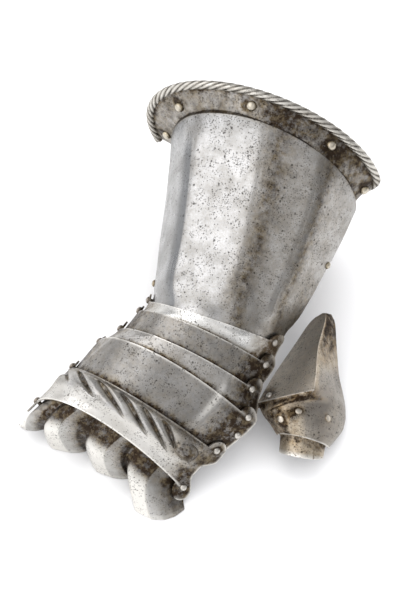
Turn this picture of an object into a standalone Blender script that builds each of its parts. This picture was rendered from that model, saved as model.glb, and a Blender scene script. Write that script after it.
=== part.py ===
"""Mitten gauntlet for the right hand, in steel plate, lying palm down on a table.

Metres, +Z up. The fingers point along -Y, the cuff opens along +Y and the thumb is on the +X side.
Every plate is a sheet laid on one surface that runs from the rim of the cuff to the finger ends.
"""

import math

import bmesh
import bpy
import numpy as np
from mathutils import Matrix, Vector

MM = 0.001

# Driving dimensions, in mm.
PLATE = 1.2            # thickness of every plate
LAYER = 2.3            # from one plate's outer face to the outer face of the plate under it
WRIST_GAP = 0.6        # how much deeper the cuff lies under the first lame than the other layers
OVERLAP = 8.5          # how far a plate runs on under the next one, at the crown
SIDE_OVERLAP = 6.0     # the same at its side ends
LOBE = 7.5             # radius of the ear round each pivot rivet
SHANK = 1.4            # radius of a rivet's shank
PLAY = 0.3             # gap between a rivet's shank and its hole
HEAD_GAP = 0.5         # gap under a rivet's head, and over its foot
PIVOT_HEAD = (2.4, 1.5)    # radius and height of a pivot rivet's head
BORDER_HEAD = (3.3, 2.2)   # the same of a border rivet's head
FLUSH_HEAD = (2.3, 0.5)    # the same of the thumb's rivets
THUMB_RIVET_DEEP = 7.0 # from the thumb plate's outer face to the foot of a rivet that holds the end lame
RIM_ROLL = 3.0         # radius of the rolled edge of the cuff

# Rings of the cuff, from the rim to the neck, in mm and degrees. The centre is at the widest points,
# rise and drop go up and down from it, lean moves the top sideways, and tilt leans it to the fingers.
# tuck draws the lower thumb side in, as a part of the width. cut is the angle of the plate's side edges.
CUFF_RINGS = [
    # centre               half_width  rise  drop  lean  yaw  roll  tilt  tuck  cut
    ((17.5, 101.5, 73.0),  80.0,       69.5, 70.0, -6.5, -5,  0,    3,    0.24, -14),
    ((20.5,  88.5, 69.0),  66.5,       66.5, 58.0, -2,   -8,  0,    5,    0,    -10),
    ((20.5,  57.0, 60.0),  60.0,       60.0, 50.0,  0,   -5,  1,    8,    0,    -10),
    ((18.6,  25.0, 51.0),  54.0,       49.5, 42.0,  0,   -4,  3,    14,   0,    -10),
    ((16.5,   1.0, 35.0),  49.5,       57.0, 28.0,  0,   -6,  6,    20,   0,    4),
]
# The rim of the inner plate, which doesn't flare at the sides. It is flat below TABLE, and the cuff lies on it.
INNER_RIM = ((19.0, 101.5, 71.0), 70.5, 69.0, 79.5, -2, -8, 0, 4, 0.24, 0)

TABLE = 0.0            # height of what the inner plate lies on, before the gauntlet is settled

# Lines across the back of the hand, in mm: the little-finger end, the crown and the thumb end of the
# edge where each plate starts, and the angles at which the arch springs from its two ends. The last line
# only says how the form runs on past the knuckle plate: the finger plate leaves it there.
HAND_LINES = [
    # line            little end              crown                   thumb end              springs
    ("wrist",        (-34.1,  -5.5, 31.0),  ( 15.0,  -35.6, 84.0),  (60.2,  -22.7, 46.0),  12, 32),
    ("lame_2",       (-38.0, -17.5, 34.0),  ( 11.0,  -42.6, 81.0),  (59.1,  -39.4, 43.0),  14, 36),
    ("lame_3",       (-47.5, -32.1, 31.0),  (  5.1,  -57.1, 77.0),  (54.7,  -57.0, 39.0),  18, 40),
    ("metacarpal",   (-58.8, -43.6, 27.0),  ( -3.5,  -65.6, 74.0),  (55.9,  -75.6, 33.0),  22, 42),
    ("knuckle",      (-72.6, -61.0, 20.0),  (-16.2,  -92.7, 66.0),  (39.7,  -97.5, 20.0),  25, 42),
    ("knuckle_end",  (-89.4, -89.5, 14.0),  (-37.5, -107.2, 53.0),  (24.0, -122.5,  5.5),  30, 38),
    ("finger_ends",  (-101.0,-108.0, 6.0),  (-52.0, -120.0, 30.0),  (13.0, -144.0, -5.0),  30, 38),
]
RIM = -len(CUFF_RINGS)         # station of the rim, with the wrist line as station 0
BORDER = RIM + 1               # station of the step down to the sunk border
NECK = -1                      # station of the last ring before the wrist line
METACARPAL = 3                 # station where the metacarpal plate starts
KNUCKLE = 4                    # station where the knuckle plate starts
KNUCKLE_END = 5
FINGER_ENDS = 6

# Ridges between the cuff's facets, in degrees round the ring from the thumb side over the top: at the
# border, and at the neck, where they have drifted round to follow the hand.
RIDGES = [(-60, -60), (-8, -8), (47, 36), (84, 65), (135, 123), (188, 188), (240, 240)]
FACET_DEPTH = 0.065    # from ridge to middle of a facet, as a part of the ring's radius
BORDER_STEP = 1.4      # how far the border is sunk below the facets

BORDER_RIVETS = [8, 47, 95.5, 142, 183]   # degrees round the ring
BORDER_RIVET_STATION = RIM + 0.5

# The cuff's inner plate closes the underside: its upper edges in degrees, and the stations of its ends.
INNER_EDGE_THUMB, INNER_EDGE_LITTLE = 8, 164
INNER_END_THUMB, INNER_END_LITTLE = -2.1, -0.8
SIDE_RIVETS = [("thumb", -2.55, -2), ("little", -1.1, 170)]    # side, station, degrees

# The finger plate, in columns from the little finger's side: the place across the arch, how far it is sunk
# at the knuckle plate's edge, and where it ends on the open edge, in mm. Each finger has a flat top
# between two ridges, and the valleys between fingers are the columns sunk the most.
FINGER_START = 4.72    # station where the finger plate starts, under the knuckle plate
FINGER_BEND = 0.52     # how far a column runs straight on before it bends to its end
FINGER_COLUMNS = [
    (-1.00, 0.0,  -95.0,  -95.5),   # little finger
    (-0.94, 0.0,  -98.0,  -99.5),
    (-0.87, 0.2,  -95.8, -101.2),
    (-0.75, 0.0,  -91.5, -102.4),
    (-0.66, 2.6,  -85.4, -101.6),
    (-0.55, 5.2,  -77.2,  -97.4),   # valley
    (-0.46, 3.0,  -75.0, -108.0),   # ring finger
    (-0.41, 1.6,  -71.0, -110.9),
    (-0.21, 0.0,  -58.5, -110.8),
    (-0.14, 1.5,  -53.5, -109.4),
    (-0.07, 3.4,  -49.5, -107.5),
    ( 0.00, 5.2,  -46.7, -103.8),   # valley
    ( 0.08, 3.0,  -43.4, -114.5),   # middle finger
    ( 0.13, 1.6,  -38.3, -119.6),
    ( 0.27, 0.0,  -27.0, -121.0),
    ( 0.33, 1.6,  -21.0, -120.3),
    ( 0.38, 3.2,  -15.6, -118.8),
    ( 0.42, 5.2,  -13.2, -114.6),   # valley
    ( 0.49, 3.0,  -11.4, -130.7),   # index finger
    ( 0.54, 1.7,   -7.0, -139.5),
    ( 0.68, 0.0,    5.0, -142.6),
    ( 0.76, 0.5,   13.0, -140.8),
    ( 0.83, 0.5,   19.0, -136.5),
    ( 0.92, 0.2,   23.6, -130.5),
    ( 1.00, 0.0,   21.8, -126.5),
]
CREST_RISE, DEEPEST = 5.5, 5.2     # how far the bend of a crest stands up from the valleys' beds
RISE_FADES = (0.98, 0.72)          # places across between which it fades out, under the ears
BEND_TIGHTNESS = 0.84  # 2/3 is a round bend, and 1 a sharp corner
FINGER_FLOOR = 0.8     # height of the open edge
FINGER_GAP = 0.8       # how much deeper it lies under the knuckle plate than the other layers

# Between its ears, the knuckle plate is drawn in to a waist. The finger plate under it follows.
WAIST_DEPTH = 8.0
WAIST_START, WAIST_END, WAIST_EASE = 4.14, 4.98, 0.32

# The thumb plate, in rows from its point to its open end: edges and ridge in mm, and how far the flanks
# between them swell.
THUMB_ROWS = [
    # hand-side edge          ridge                    outer edge                swell
    (( 80.0,  14.0, 34.0),  ( 82.6,  12.9, 37.0),  ( 85.9,  15.0, 33.0),  0.2),
    (( 73.2,   9.8, 26.0),  ( 83.3,   3.0, 41.0),  ( 89.7,  10.2, 30.0),  0.6),
    (( 65.8,  -8.2, 20.0),  ( 83.4, -18.2, 46.0),  ( 94.1,  -3.2, 24.0),  1.4),
    (( 58.1, -32.3, 20.0),  ( 86.2, -37.8, 49.0),  ( 99.6, -18.9, 16.0),  2.0),
    (( 53.2, -57.3, 26.0),  ( 87.8, -51.1, 50.0),  (104.7, -28.7, 11.0),  3.0),
    (( 58.6, -62.7, 21.0),  ( 82.6, -57.1, 39.0),  (108.9, -39.5,  9.0),  5.0),
    (( 63.8, -65.6, 17.0),  ( 84.4, -67.8, 38.0),  (110.4, -52.8,  8.0),  6.0),
    (( 69.8, -70.6, 13.0),  ( 87.6, -74.4, 27.0),  (104.0, -70.0, 10.0),  4.5),
]
# The open end of the end lame, which is nested in the thumb plate from row THUMB_NEST on.
THUMB_END = (( 73.7, -81.3, 12.0),  ( 90.1, -86.1, 22.0),  (102.1, -78.3, 12.0),  2.5)
THUMB_NEST = 5.15
THUMB_ROUNDS = (4.1, 5.2)          # rows over which the gable gives way to an arch
NEST_SCALE = 0.87      # its size there, as a part of the thumb plate's
# Flush rivets that hold the end lame under the thumb plate: row and place across, from -1 to 1.
THUMB_RIVETS = [(5.95, -0.40), (5.45, -0.06), (5.75, 0.44)]

# The thumb plate turns on a rivet at its corner. A strap under the plates holds it to the metacarpal
# plate: the directions in which it leaves the two rivets, and the points it passes between, in mm.
THUMB_PIVOT = (3.82, -0.84)        # row and place on the thumb plate
STRAP_RIVET = (3.52, 45)           # station and degrees on the metacarpal plate
STRAP_LEAVES_HAND = (0.60, 0.65, 0.45)
STRAP_LEAVES_THUMB = (-0.81, -0.32, -0.49)
STRAP_MIDDLE = [(50.0, -77.5, 25.5), (47.0, -67.5, 20.5), (49.5, -57.5, 18.5)]
STRAP_WIDTH = 2.8                  # half the width
STRAP_END = 3.0                    # how far it runs on past each rivet
STRAP_DROP = 2.4                   # gap between it and the plates over it


def clear_scene():
    for obj in list(bpy.data.objects):
        bpy.data.objects.remove(obj, do_unlink=True)


# ------------------------------------------------------------------ the surface the plates lie on

def ring_frame(centre, half_width, rise, drop, lean, yaw, roll, tilt, tuck, cut):
    """One ring of the cuff, as numbers that can be blended: centre, across, up, drop, cuts and tuck."""
    turn = (Matrix.Rotation(math.radians(yaw), 3, "Z")
            @ Matrix.Rotation(math.radians(-roll), 3, "Y")
            @ Matrix.Rotation(math.radians(tilt), 3, "X"))
    across = turn @ Vector((half_width, 0, 0))
    up = turn @ Vector((lean, 0, rise))
    return [*centre, *across, *up, drop / rise, cut, cut, tuck]


def arch_frame(little, crown, thumb, spring_little, spring_thumb):
    """The same numbers for an arch: the ellipse through its two ends and its crown."""
    little, crown, thumb = Vector(little), Vector(crown), Vector(thumb)
    cos_l, sin_l = math.cos(math.radians(spring_little)), math.sin(math.radians(spring_little))
    cos_t, sin_t = math.cos(math.radians(spring_thumb)), math.sin(math.radians(spring_thumb))
    centre = cos_t * (little - crown * sin_l) + cos_l * (thumb - crown * sin_t)
    centre /= (1 - sin_l) * cos_t + (1 - sin_t) * cos_l
    across = (centre * (1 - sin_l) - little + crown * sin_l) / cos_l
    return [*centre, *across, *(crown - centre), 0.6, spring_little, spring_thumb, 0]


FRAMES = np.array(
    [ring_frame(*row) for row in CUFF_RINGS] + [arch_frame(*row[1:]) for row in HAND_LINES]
)


def frame_at(station):
    """The frame at a station, blended smoothly between the rings and lines. The border is a plain cone."""
    place = min(max(station - RIM, 0.0), len(FRAMES) - 1.000001)
    first = int(place)
    part = place - first
    here, after = FRAMES[first], FRAMES[first + 1]
    if first == 0:
        return here + (after - here) * part
    before = FRAMES[max(first - 1, 1)]
    beyond = FRAMES[min(first + 2, len(FRAMES) - 1)]
    leave, arrive = (after - before) / 2, (beyond - here) / 2
    square, cube = part ** 2, part ** 3
    return ((2 * cube - 3 * square + 1) * here + (cube - 2 * square + part) * leave
            + (3 * square - 2 * cube) * after + (cube - square) * arrive)


def smooth_step(low, high, value):
    part = min(max((value - low) / (high - low), 0.0), 1.0)
    return part * part * (3 - 2 * part)


def facet(station, angle):
    """How far the cuff's facets move a point out, as a part of the radius: most at a ridge."""
    start = 0.12 * smooth_step(BORDER - 0.05, BORDER, station)
    start += 0.88 * smooth_step(BORDER, BORDER + 0.8, station)
    weight = start * (1 - smooth_step(-0.9, -0.2, station))
    drift = min(max((station - BORDER) / (NECK - BORDER), 0.0), 1.0) ** 2
    ridges = sorted((at_border + (at_neck - at_border) * drift) % 360 for at_border, at_neck in RIDGES)
    angle = angle % 360
    after = next((ridge for ridge in ridges if ridge > angle), ridges[0] + 360)
    before = max((ridge for ridge in ridges if ridge <= angle), default=ridges[-1] - 360)
    part = (angle - before) / (after - before)
    return weight * FACET_DEPTH * (0.5 - math.sin(math.pi * part))


def frame_point(frame, angle, out=0.0):
    """A point of a ring at an angle in degrees, moved out by a part of the radius."""
    turn = math.radians(angle)
    across, up = Vector(frame[3:6]) * math.cos(turn), Vector(frame[6:9]) * math.sin(turn)
    if math.cos(turn) > 0:
        across *= 1 - frame[12] * smooth_step(-0.15, 0.35, -math.sin(turn))
    if math.sin(turn) < 0:
        up *= frame[9]
    return Vector(frame[0:3]) + (across + up) * (1 + out)


def ring_point(station, angle):
    """A point on the surface, at an angle round the ring in degrees, in mm."""
    return frame_point(frame_at(station), angle, facet(station, angle))


def angle_at(station, place):
    """The angle of a place across the arch: -1 is the little-finger edge and 1 the thumb edge."""
    cut = frame_at(station)[11 if place > 0 else 10]
    return 90 - place * (90 - cut)


def surface(station, place, lift=0.0):
    """A point across the arch, lifted off the surface along its normal, and that normal."""
    return lifted(ring_point, station, angle_at(station, place), lift)


def lifted(point, station, angle, lift):
    small = 0.02
    here = point(station, angle)
    along = point(station + small, angle) - point(station - small, angle)
    around = point(station, angle - small * 20) - point(station, angle + small * 20)
    normal = along.cross(around).normalized()
    return here + normal * lift, normal


def mm_across(station, place):
    step = 0.01
    inner = place - step if place > 0 else place + step
    return (surface(station, place)[0] - surface(station, inner)[0]).length / step


def mm_along(station, place):
    step = 0.02
    return (surface(station + step, place)[0] - surface(station - step, place)[0]).length / (2 * step)


def dip(station):
    """How far the layers have stepped down, counted from the cuff: one layer for each plate."""
    return LAYER * min(max(station, -1.0), KNUCKLE)


# ------------------------------------------------------------------ making objects

def collection_named(name):
    found = bpy.data.collections.get(name)
    if not found:
        found = bpy.data.collections.new(name)
        bpy.context.scene.collection.children.link(found)
    return found


def steel(name, colour, roughness):
    found = bpy.data.materials.get(name)
    if found:
        return found
    made = bpy.data.materials.new(name)
    made.use_nodes = True
    shader = made.node_tree.nodes["Principled BSDF"]
    shader.inputs["Base Color"].default_value = (*colour, 1)
    shader.inputs["Metallic"].default_value = 1.0
    shader.inputs["Roughness"].default_value = roughness
    return made


def add_object(name, mesh, material=None, cutter=False):
    obj = bpy.data.objects.new(name, mesh)
    collection_named("cutters" if cutter else "mitten_gauntlet").objects.link(obj)
    if cutter:
        obj.hide_render = True
        obj.display_type = "WIRE"
    if material:
        mesh.materials.append(material)
    return obj


def sheet(name, columns, rows, point, material):
    """A plate: a grid laid on a surface by point(column, row) in mm, thickened inwards."""
    across, along = len(columns) - 1, len(rows) - 1
    bm = bmesh.new()
    bmesh.ops.create_grid(bm, x_segments=across, y_segments=along, size=1)
    for vert in bm.verts:
        column = columns[round((vert.co.x + 1) / 2 * across)]
        row = rows[round((vert.co.y + 1) / 2 * along)]
        vert.co = point(column, row) * MM
    bmesh.ops.remove_doubles(bm, verts=bm.verts, dist=0.00001)
    bmesh.ops.reverse_faces(bm, faces=bm.faces)
    mesh = bpy.data.meshes.new(name)
    bm.to_mesh(mesh)
    bm.free()
    mesh.shade_smooth()
    obj = add_object(name, mesh, material)
    solid = obj.modifiers.new("thickness", "SOLIDIFY")
    solid.thickness = PLATE * MM
    solid.offset = -1
    return obj


def even(low, high, count):
    return [low + (high - low) * k / count for k in range(count + 1)]


def cut_with(obj, cutter, operation="DIFFERENCE"):
    change = obj.modifiers.new(operation.lower(), "BOOLEAN")
    change.operation = operation
    change.object = cutter
    cutter.parent = obj


def upright(point, normal):
    """The matrix that stands a turned piece on a point in mm, with its Z along the normal."""
    turn = normal.to_track_quat("Z", "Y").to_matrix().to_4x4()
    return Matrix.Translation(point * MM) @ turn


def drill(obj, places):
    """Cuts a rivet hole through a plate at each place: a point and a normal."""
    bm = bmesh.new()
    for point, normal in places:
        bmesh.ops.create_cone(
            bm, cap_ends=True, segments=8, depth=14 * MM,
            radius1=(SHANK + PLAY) * MM, radius2=(SHANK + PLAY) * MM, matrix=upright(point, normal),
        )
    mesh = bpy.data.meshes.new(obj.name + "_holes")
    bm.to_mesh(mesh)
    bm.free()
    cut_with(obj, add_object(mesh.name, mesh, cutter=True))


def turned(name, profile, matrix, material, segments=8):
    """A turned piece: a profile of radius and height in mm, from its top down its outer side."""
    mesh = bpy.data.meshes.new(name)
    points = [(radius * MM, 0, height * MM) for radius, height in profile]
    mesh.from_pydata(points, [(k, k + 1) for k in range(len(points) - 1)], [])
    obj = add_object(name, mesh, material)
    obj.matrix_world = matrix
    screw = obj.modifiers.new("turn", "SCREW")
    screw.steps = screw.render_steps = segments
    screw.use_merge_vertices = True
    screw.merge_threshold = 0.00001
    return obj


def rivet(name, place, head, deep, material):
    """A rivet at a place on a plate's outer face, a point and a normal, with its foot below deep."""
    radius, height = head
    foot = -deep - HEAD_GAP
    dome = [(radius * math.sin(math.radians(a)), HEAD_GAP + height * math.cos(math.radians(a)))
            for a in (0, 45, 90)]
    profile = dome + [(SHANK, HEAD_GAP), (SHANK, foot), (SHANK + 0.9, foot), (SHANK + 0.9, foot - 0.9),
                      (0, foot - 0.9)]
    return turned(name, profile, upright(*place), material)


# ------------------------------------------------------------------ plates of the hand

def pivot_place(station, side):
    """Where across the arch a pivot stands, one lobe's radius in from the edge. side is -1 or 1."""
    return side * (1 - LOBE / mm_across(station, side))


def outer_face(start):
    """The outer face of the hand plate that starts at a line, as a point for each station and angle."""

    def face(station, angle):
        return lifted(ring_point, station, angle, LAYER * start - dip(station))[0]

    return face


def pivot(station, side):
    """The place of a pivot on the outer face of the plate it belongs to: a point and a normal."""
    face = outer_face(station) if station < KNUCKLE else ring_point
    return lifted(face, station, angle_at(station, pivot_place(station, side)), 0.0)


def ear_reach(station, place):
    """How far the ears of a plate reach past the line of its pivots, in stations."""
    from_edge = (1 - abs(place)) * mm_across(station, math.copysign(1, place))
    reach = math.sqrt(max(LOBE ** 2 - (from_edge - LOBE) ** 2, 0.0))
    return reach / mm_along(station, place)


def ear_columns(station, middle):
    """Columns across a plate: close together over the ears, even between them."""
    ears = [LOBE * (1 - math.cos(math.radians(30 * k))) for k in range(7)]
    left = [-1 + ear / mm_across(station, -1) for ear in ears]
    right = [1 - ear / mm_across(station, 1) for ear in reversed(ears)]
    return left + even(left[-1], right[0], middle)[1:-1] + right


def overlap(station, place):
    """How far a plate runs on past a line, in stations: most at the crown."""
    reach = OVERLAP + (SIDE_OVERLAP - OVERLAP) * place ** 2
    return reach / mm_along(station, place)


def hand_plate(name, start, material, middle=14, rows=5):
    """A plate from one line to just past the next, with an ear round each of its pivots."""

    def point(place, part):
        first = start - ear_reach(start, place)
        last = start + 1 + overlap(start + 1, place)
        station = first + (last - first) * part
        return surface(station, place, start * LAYER - dip(station))[0]

    return sheet(name, ear_columns(start, middle), even(0, 1, rows), point, material)


def waisted(station, place):
    """A place drawn in towards the crown where the knuckle plate has its waist."""
    opening = smooth_step(WAIST_START, WAIST_START + WAIST_EASE, station)
    closing = smooth_step(WAIST_END, WAIST_END - WAIST_EASE, station)
    side = math.copysign(1, place)
    drawn = WAIST_DEPTH / mm_across(station, side) * opening * closing
    return place - side * drawn * smooth_step(0.6, 1, abs(place))


def knuckle_roll(station, place):
    """The raised roll across the knuckle plate, ending in a boss short of its ears."""
    across = 1 - smooth_step(0.72, 0.9, abs(place + 0.02))
    centre, half = 4.36, 0.24
    return 3.0 * across * max(1 - ((station - centre) / half) ** 2, 0.0)


def knuckle_plate(material):
    """The knuckle plate, with ears over the metacarpal plate and over the finger plate."""

    def point(place, part):
        first = KNUCKLE - ear_reach(KNUCKLE, place)
        last = KNUCKLE_END + ear_reach(KNUCKLE_END, place)
        station = first + (last - first) * part
        place = waisted(station, place)
        return surface(station, place, knuckle_roll(station, place))[0]

    rows = [0, 0.14, 0.28, 0.36, 0.44, 0.52, 0.6, 0.8, 1]
    return sheet("knuckle_plate", ear_columns(KNUCKLE, 14), rows, point, material)


def finger_point(column, row):
    """Rows up to the knuckle plate's edge are stations; past it a column bends down to its end."""
    place, sunk_by, x, y = FINGER_COLUMNS[column]
    if row <= KNUCKLE_END:
        sunk_by *= smooth_step(FINGER_START, KNUCKLE_END, row)
        return surface(row, waisted(row, place), -LAYER - FINGER_GAP - sunk_by)[0]
    part = row - KNUCKLE_END
    start = finger_point(column, KNUCKLE_END)
    end = Vector((x, y, FINGER_FLOOR))
    ahead = surface(KNUCKLE_END + 0.05, place)[0] - surface(KNUCKLE_END - 0.05, place)[0]
    middle = start + ahead.normalized() * (end - start).length * FINGER_BEND
    middle.z += CREST_RISE * (1 - sunk_by / DEEPEST) * smooth_step(*RISE_FADES, abs(place))
    leave = start.lerp(middle, BEND_TIGHTNESS)
    arrive = end.lerp(middle, BEND_TIGHTNESS)
    rest = 1 - part
    bend = 3 * rest * part * (leave * rest + arrive * part)
    return start * rest ** 3 + bend + end * part ** 3


def finger_plate(material):
    rows = [FINGER_START, 4.87, KNUCKLE_END, 5.2, 5.4, 5.6, 5.8, FINGER_ENDS]
    return sheet("finger_plate", list(range(len(FINGER_COLUMNS))), rows, finger_point, material)


# ------------------------------------------------------------------ the cuff

def sunk(station):
    """How far the border lies below the facets: nothing at the rim, most at the step."""
    return (BORDER_STEP + FACET_DEPTH / 2 * CUFF_RINGS[1][1]) * min(max(station - RIM, 0), 1)


def cuff_lift(station):
    """The main plate lies on the surface, with a sunk border, and dips under the first lame."""
    border = -sunk(station) * (1 - smooth_step(BORDER - 0.06, BORDER + 0.02, station))
    return border - LAYER - dip(station) - WRIST_GAP * smooth_step(NECK, -0.3, station)


def cuff_face(station, angle):
    """A point on the outer face of the main plate."""
    return lifted(ring_point, station, angle, cuff_lift(station))[0]


def cuff_station(row, place):
    """Rows past the neck stretch to end under the first lame."""
    return row if row < NECK else NECK + (row - NECK) * (1 + overlap(0, place))


def rim_roll():
    """The rolled edge: a tube along the rim, a little past the plate's side edges."""
    curve = bpy.data.curves.new("rim_roll", "CURVE")
    curve.dimensions = "3D"
    curve.bevel_depth = RIM_ROLL * MM
    curve.bevel_resolution = 2
    curve.use_fill_caps = True
    points = [ring_point(RIM, angle) for angle in even(-16, 196, 44)]
    spline = curve.splines.new("POLY")
    spline.points.add(len(points) - 1)
    for vert, point in zip(spline.points, points):
        vert.co = (*(point * MM), 1)
    source = bpy.data.objects.new("rim_roll_curve", curve)
    collection_named("cutters").objects.link(source)
    bpy.context.view_layer.update()
    mesh = bpy.data.meshes.new_from_object(source.evaluated_get(bpy.context.evaluated_depsgraph_get()))
    bpy.data.objects.remove(source)
    bm = bmesh.new()
    bm.from_mesh(mesh)
    bmesh.ops.remove_doubles(bm, verts=bm.verts, dist=0.00001)
    bm.to_mesh(mesh)
    bm.free()
    return add_object("rim_roll", mesh, cutter=True)


def cuff_plate(material):
    """The main plate of the cuff: a bell that wraps over the top and down the sides."""

    def point(place, row):
        station = cuff_station(row, place)
        return cuff_face(station, angle_at(station, place))

    rows = [RIM + 0.03, -4.5, BORDER - 0.06, BORDER + 0.02, -3.5, -3, -2.4, -1.8, -1.4, NECK,
            -0.7, -0.45, -0.22, 0]
    plate = sheet("cuff_plate", even(-1, 1, 36), rows, point, material)
    cut_with(plate, rim_roll(), "UNION")
    return plate


def inner_point(station, angle):
    """A point of the surface that the inner plate lies under, which has its own rim."""
    if station >= BORDER:
        return ring_point(station, angle)
    part = BORDER - station
    frame = FRAMES[1] + (np.array(ring_frame(*INNER_RIM)) - FRAMES[1]) * part
    return frame_point(frame, angle, facet(BORDER, angle) * (1 - part))


def cuff_inner_plate(material):
    """The plain inner plate, nested inside the main one, which closes the underside of the cuff."""
    sweep = 360 + INNER_EDGE_THUMB - INNER_EDGE_LITTLE

    def point(part, along):
        angle = INNER_EDGE_THUMB - sweep * part
        end = INNER_END_THUMB + (INNER_END_LITTLE - INNER_END_THUMB) * smooth_step(0, 1, part)
        station = RIM + (end - RIM) * along
        under_border = sunk(BORDER) * (1 - smooth_step(BORDER, BORDER + 0.4, station))
        found = lifted(inner_point, station, angle, -LAYER - under_border)[0]
        found.z = max(found.z, TABLE)
        return found

    rows = [0, 0.12, 0.24, 0.32, 0.4, 0.55, 0.7, 0.85, 1]
    return sheet("cuff_inner_plate", even(0, 1, 30), rows, point, material)


# ------------------------------------------------------------------ the thumb

def on_gable(row, place, rounded):
    """A point on one row of the thumb: place runs from -1 at the hand side over the ridge to 1. The row is
    a gable with swelling sides, or where it is rounded an arch."""
    hand, ridge, outer = (Vector(point) for point in row[:3])
    edge = hand if place < 0 else outer
    middle = (hand + outer) / 2
    span = 1 - (2 * abs(place) - 1) ** 2
    sharp = ridge.lerp(edge, abs(place)) + (ridge - middle).normalized() * (row[3] * span)
    turn = math.radians(90 * place)
    arch = middle + (outer - hand) / 2 * math.sin(turn) + (ridge - middle) * math.cos(turn)
    return sharp.lerp(arch, rounded)


def thumb_point(row, place):
    first = max(min(int(row), len(THUMB_ROWS) - 2), 0)
    rounded = smooth_step(*THUMB_ROUNDS, row)
    here = on_gable(THUMB_ROWS[first], place, rounded)
    return here.lerp(on_gable(THUMB_ROWS[first + 1], place, rounded), row - first)


def thumb_place(row, place):
    """A point on the thumb plate's outer face and its normal."""
    step = 0.05
    along = thumb_point(row + step, place) - thumb_point(row - step, place)
    across = thumb_point(row, place + step) - thumb_point(row, place - step)
    return thumb_point(row, place), along.cross(across).normalized()


def thumb_plate(material):
    rows = even(0, len(THUMB_ROWS) - 1, 2 * (len(THUMB_ROWS) - 1))
    return sheet("thumb_plate", even(-1, 1, 8), rows, lambda place, row: thumb_point(row, place), material)


def thumb_end_lame(material):
    last = len(THUMB_ROWS) - 1

    def point(place, row):
        over = min(row, last)
        middle = (thumb_point(over, -1) + thumb_point(over, 1)) / 2
        nested = middle.lerp(thumb_point(over, place), NEST_SCALE)
        return nested.lerp(on_gable(THUMB_END, place, 1), row - over)

    return sheet("thumb_end_lame", even(-1, 1, 8), [THUMB_NEST, 5.5, 6, 6.5, last, 7.5, 8], point, material)


def strap_end(place, leaving):
    """The strap round a rivet, from its end inwards: three points and the half width across it."""
    point, normal = place
    seat = point - normal * (PLATE + STRAP_DROP)
    line = Vector(leaving)
    line = (line - normal * line.dot(normal)).normalized()
    return [seat + line * along for along in (-STRAP_END, 0, STRAP_END)], normal.cross(line) * STRAP_WIDTH


def thumb_strap(hand, thumb, material):
    """The twisted strap from under the metacarpal plate to under the corner of the thumb plate."""
    start, side = strap_end(hand, STRAP_LEAVES_HAND)
    finish, far_side = strap_end(thumb, STRAP_LEAVES_THUMB)
    centres = start + [Vector(centre) for centre in STRAP_MIDDLE] + finish[::-1]
    twist = [0, 0, 0, 0.25, 0.5, 0.75, 1, 1, 1]

    def point(across, row):
        return centres[row] + side.lerp(-far_side, twist[row]) * across

    return sheet("thumb_strap", [-1, 0, 1], list(range(len(centres))), point, material)


# ------------------------------------------------------------------ assembly

def joint_frame(name, middle, parent, members):
    """An empty on a joint's axis, with the pieces that turn about it."""
    bpy.context.view_layer.update()
    empty = bpy.data.objects.new(name, None)
    empty.empty_display_size = 0.01
    empty.matrix_world = Matrix.Translation(middle * MM)
    collection_named("mitten_gauntlet").objects.link(empty)
    bpy.context.view_layer.update()
    for obj in members:
        hang_on(obj, empty)
    if parent:
        hang_on(empty, parent)
    return empty


def hang_on(obj, parent):
    place = obj.matrix_world.copy()
    obj.parent = parent
    obj.matrix_parent_inverse = parent.matrix_world.inverted()
    obj.matrix_world = place


def settle(root, objects):
    """Moves everything so that the middle of the bounding box's underside is at the origin."""
    bpy.context.view_layer.update()
    graph = bpy.context.evaluated_depsgraph_get()
    corners = [obj.matrix_world @ Vector(corner)
               for obj in objects for corner in obj.evaluated_get(graph).bound_box]
    low = Vector(min(corner[k] for corner in corners) for k in range(3))
    high = Vector(max(corner[k] for corner in corners) for k in range(3))
    root.location -= Vector(((low.x + high.x) / 2, (low.y + high.y) / 2, low.z))


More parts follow.
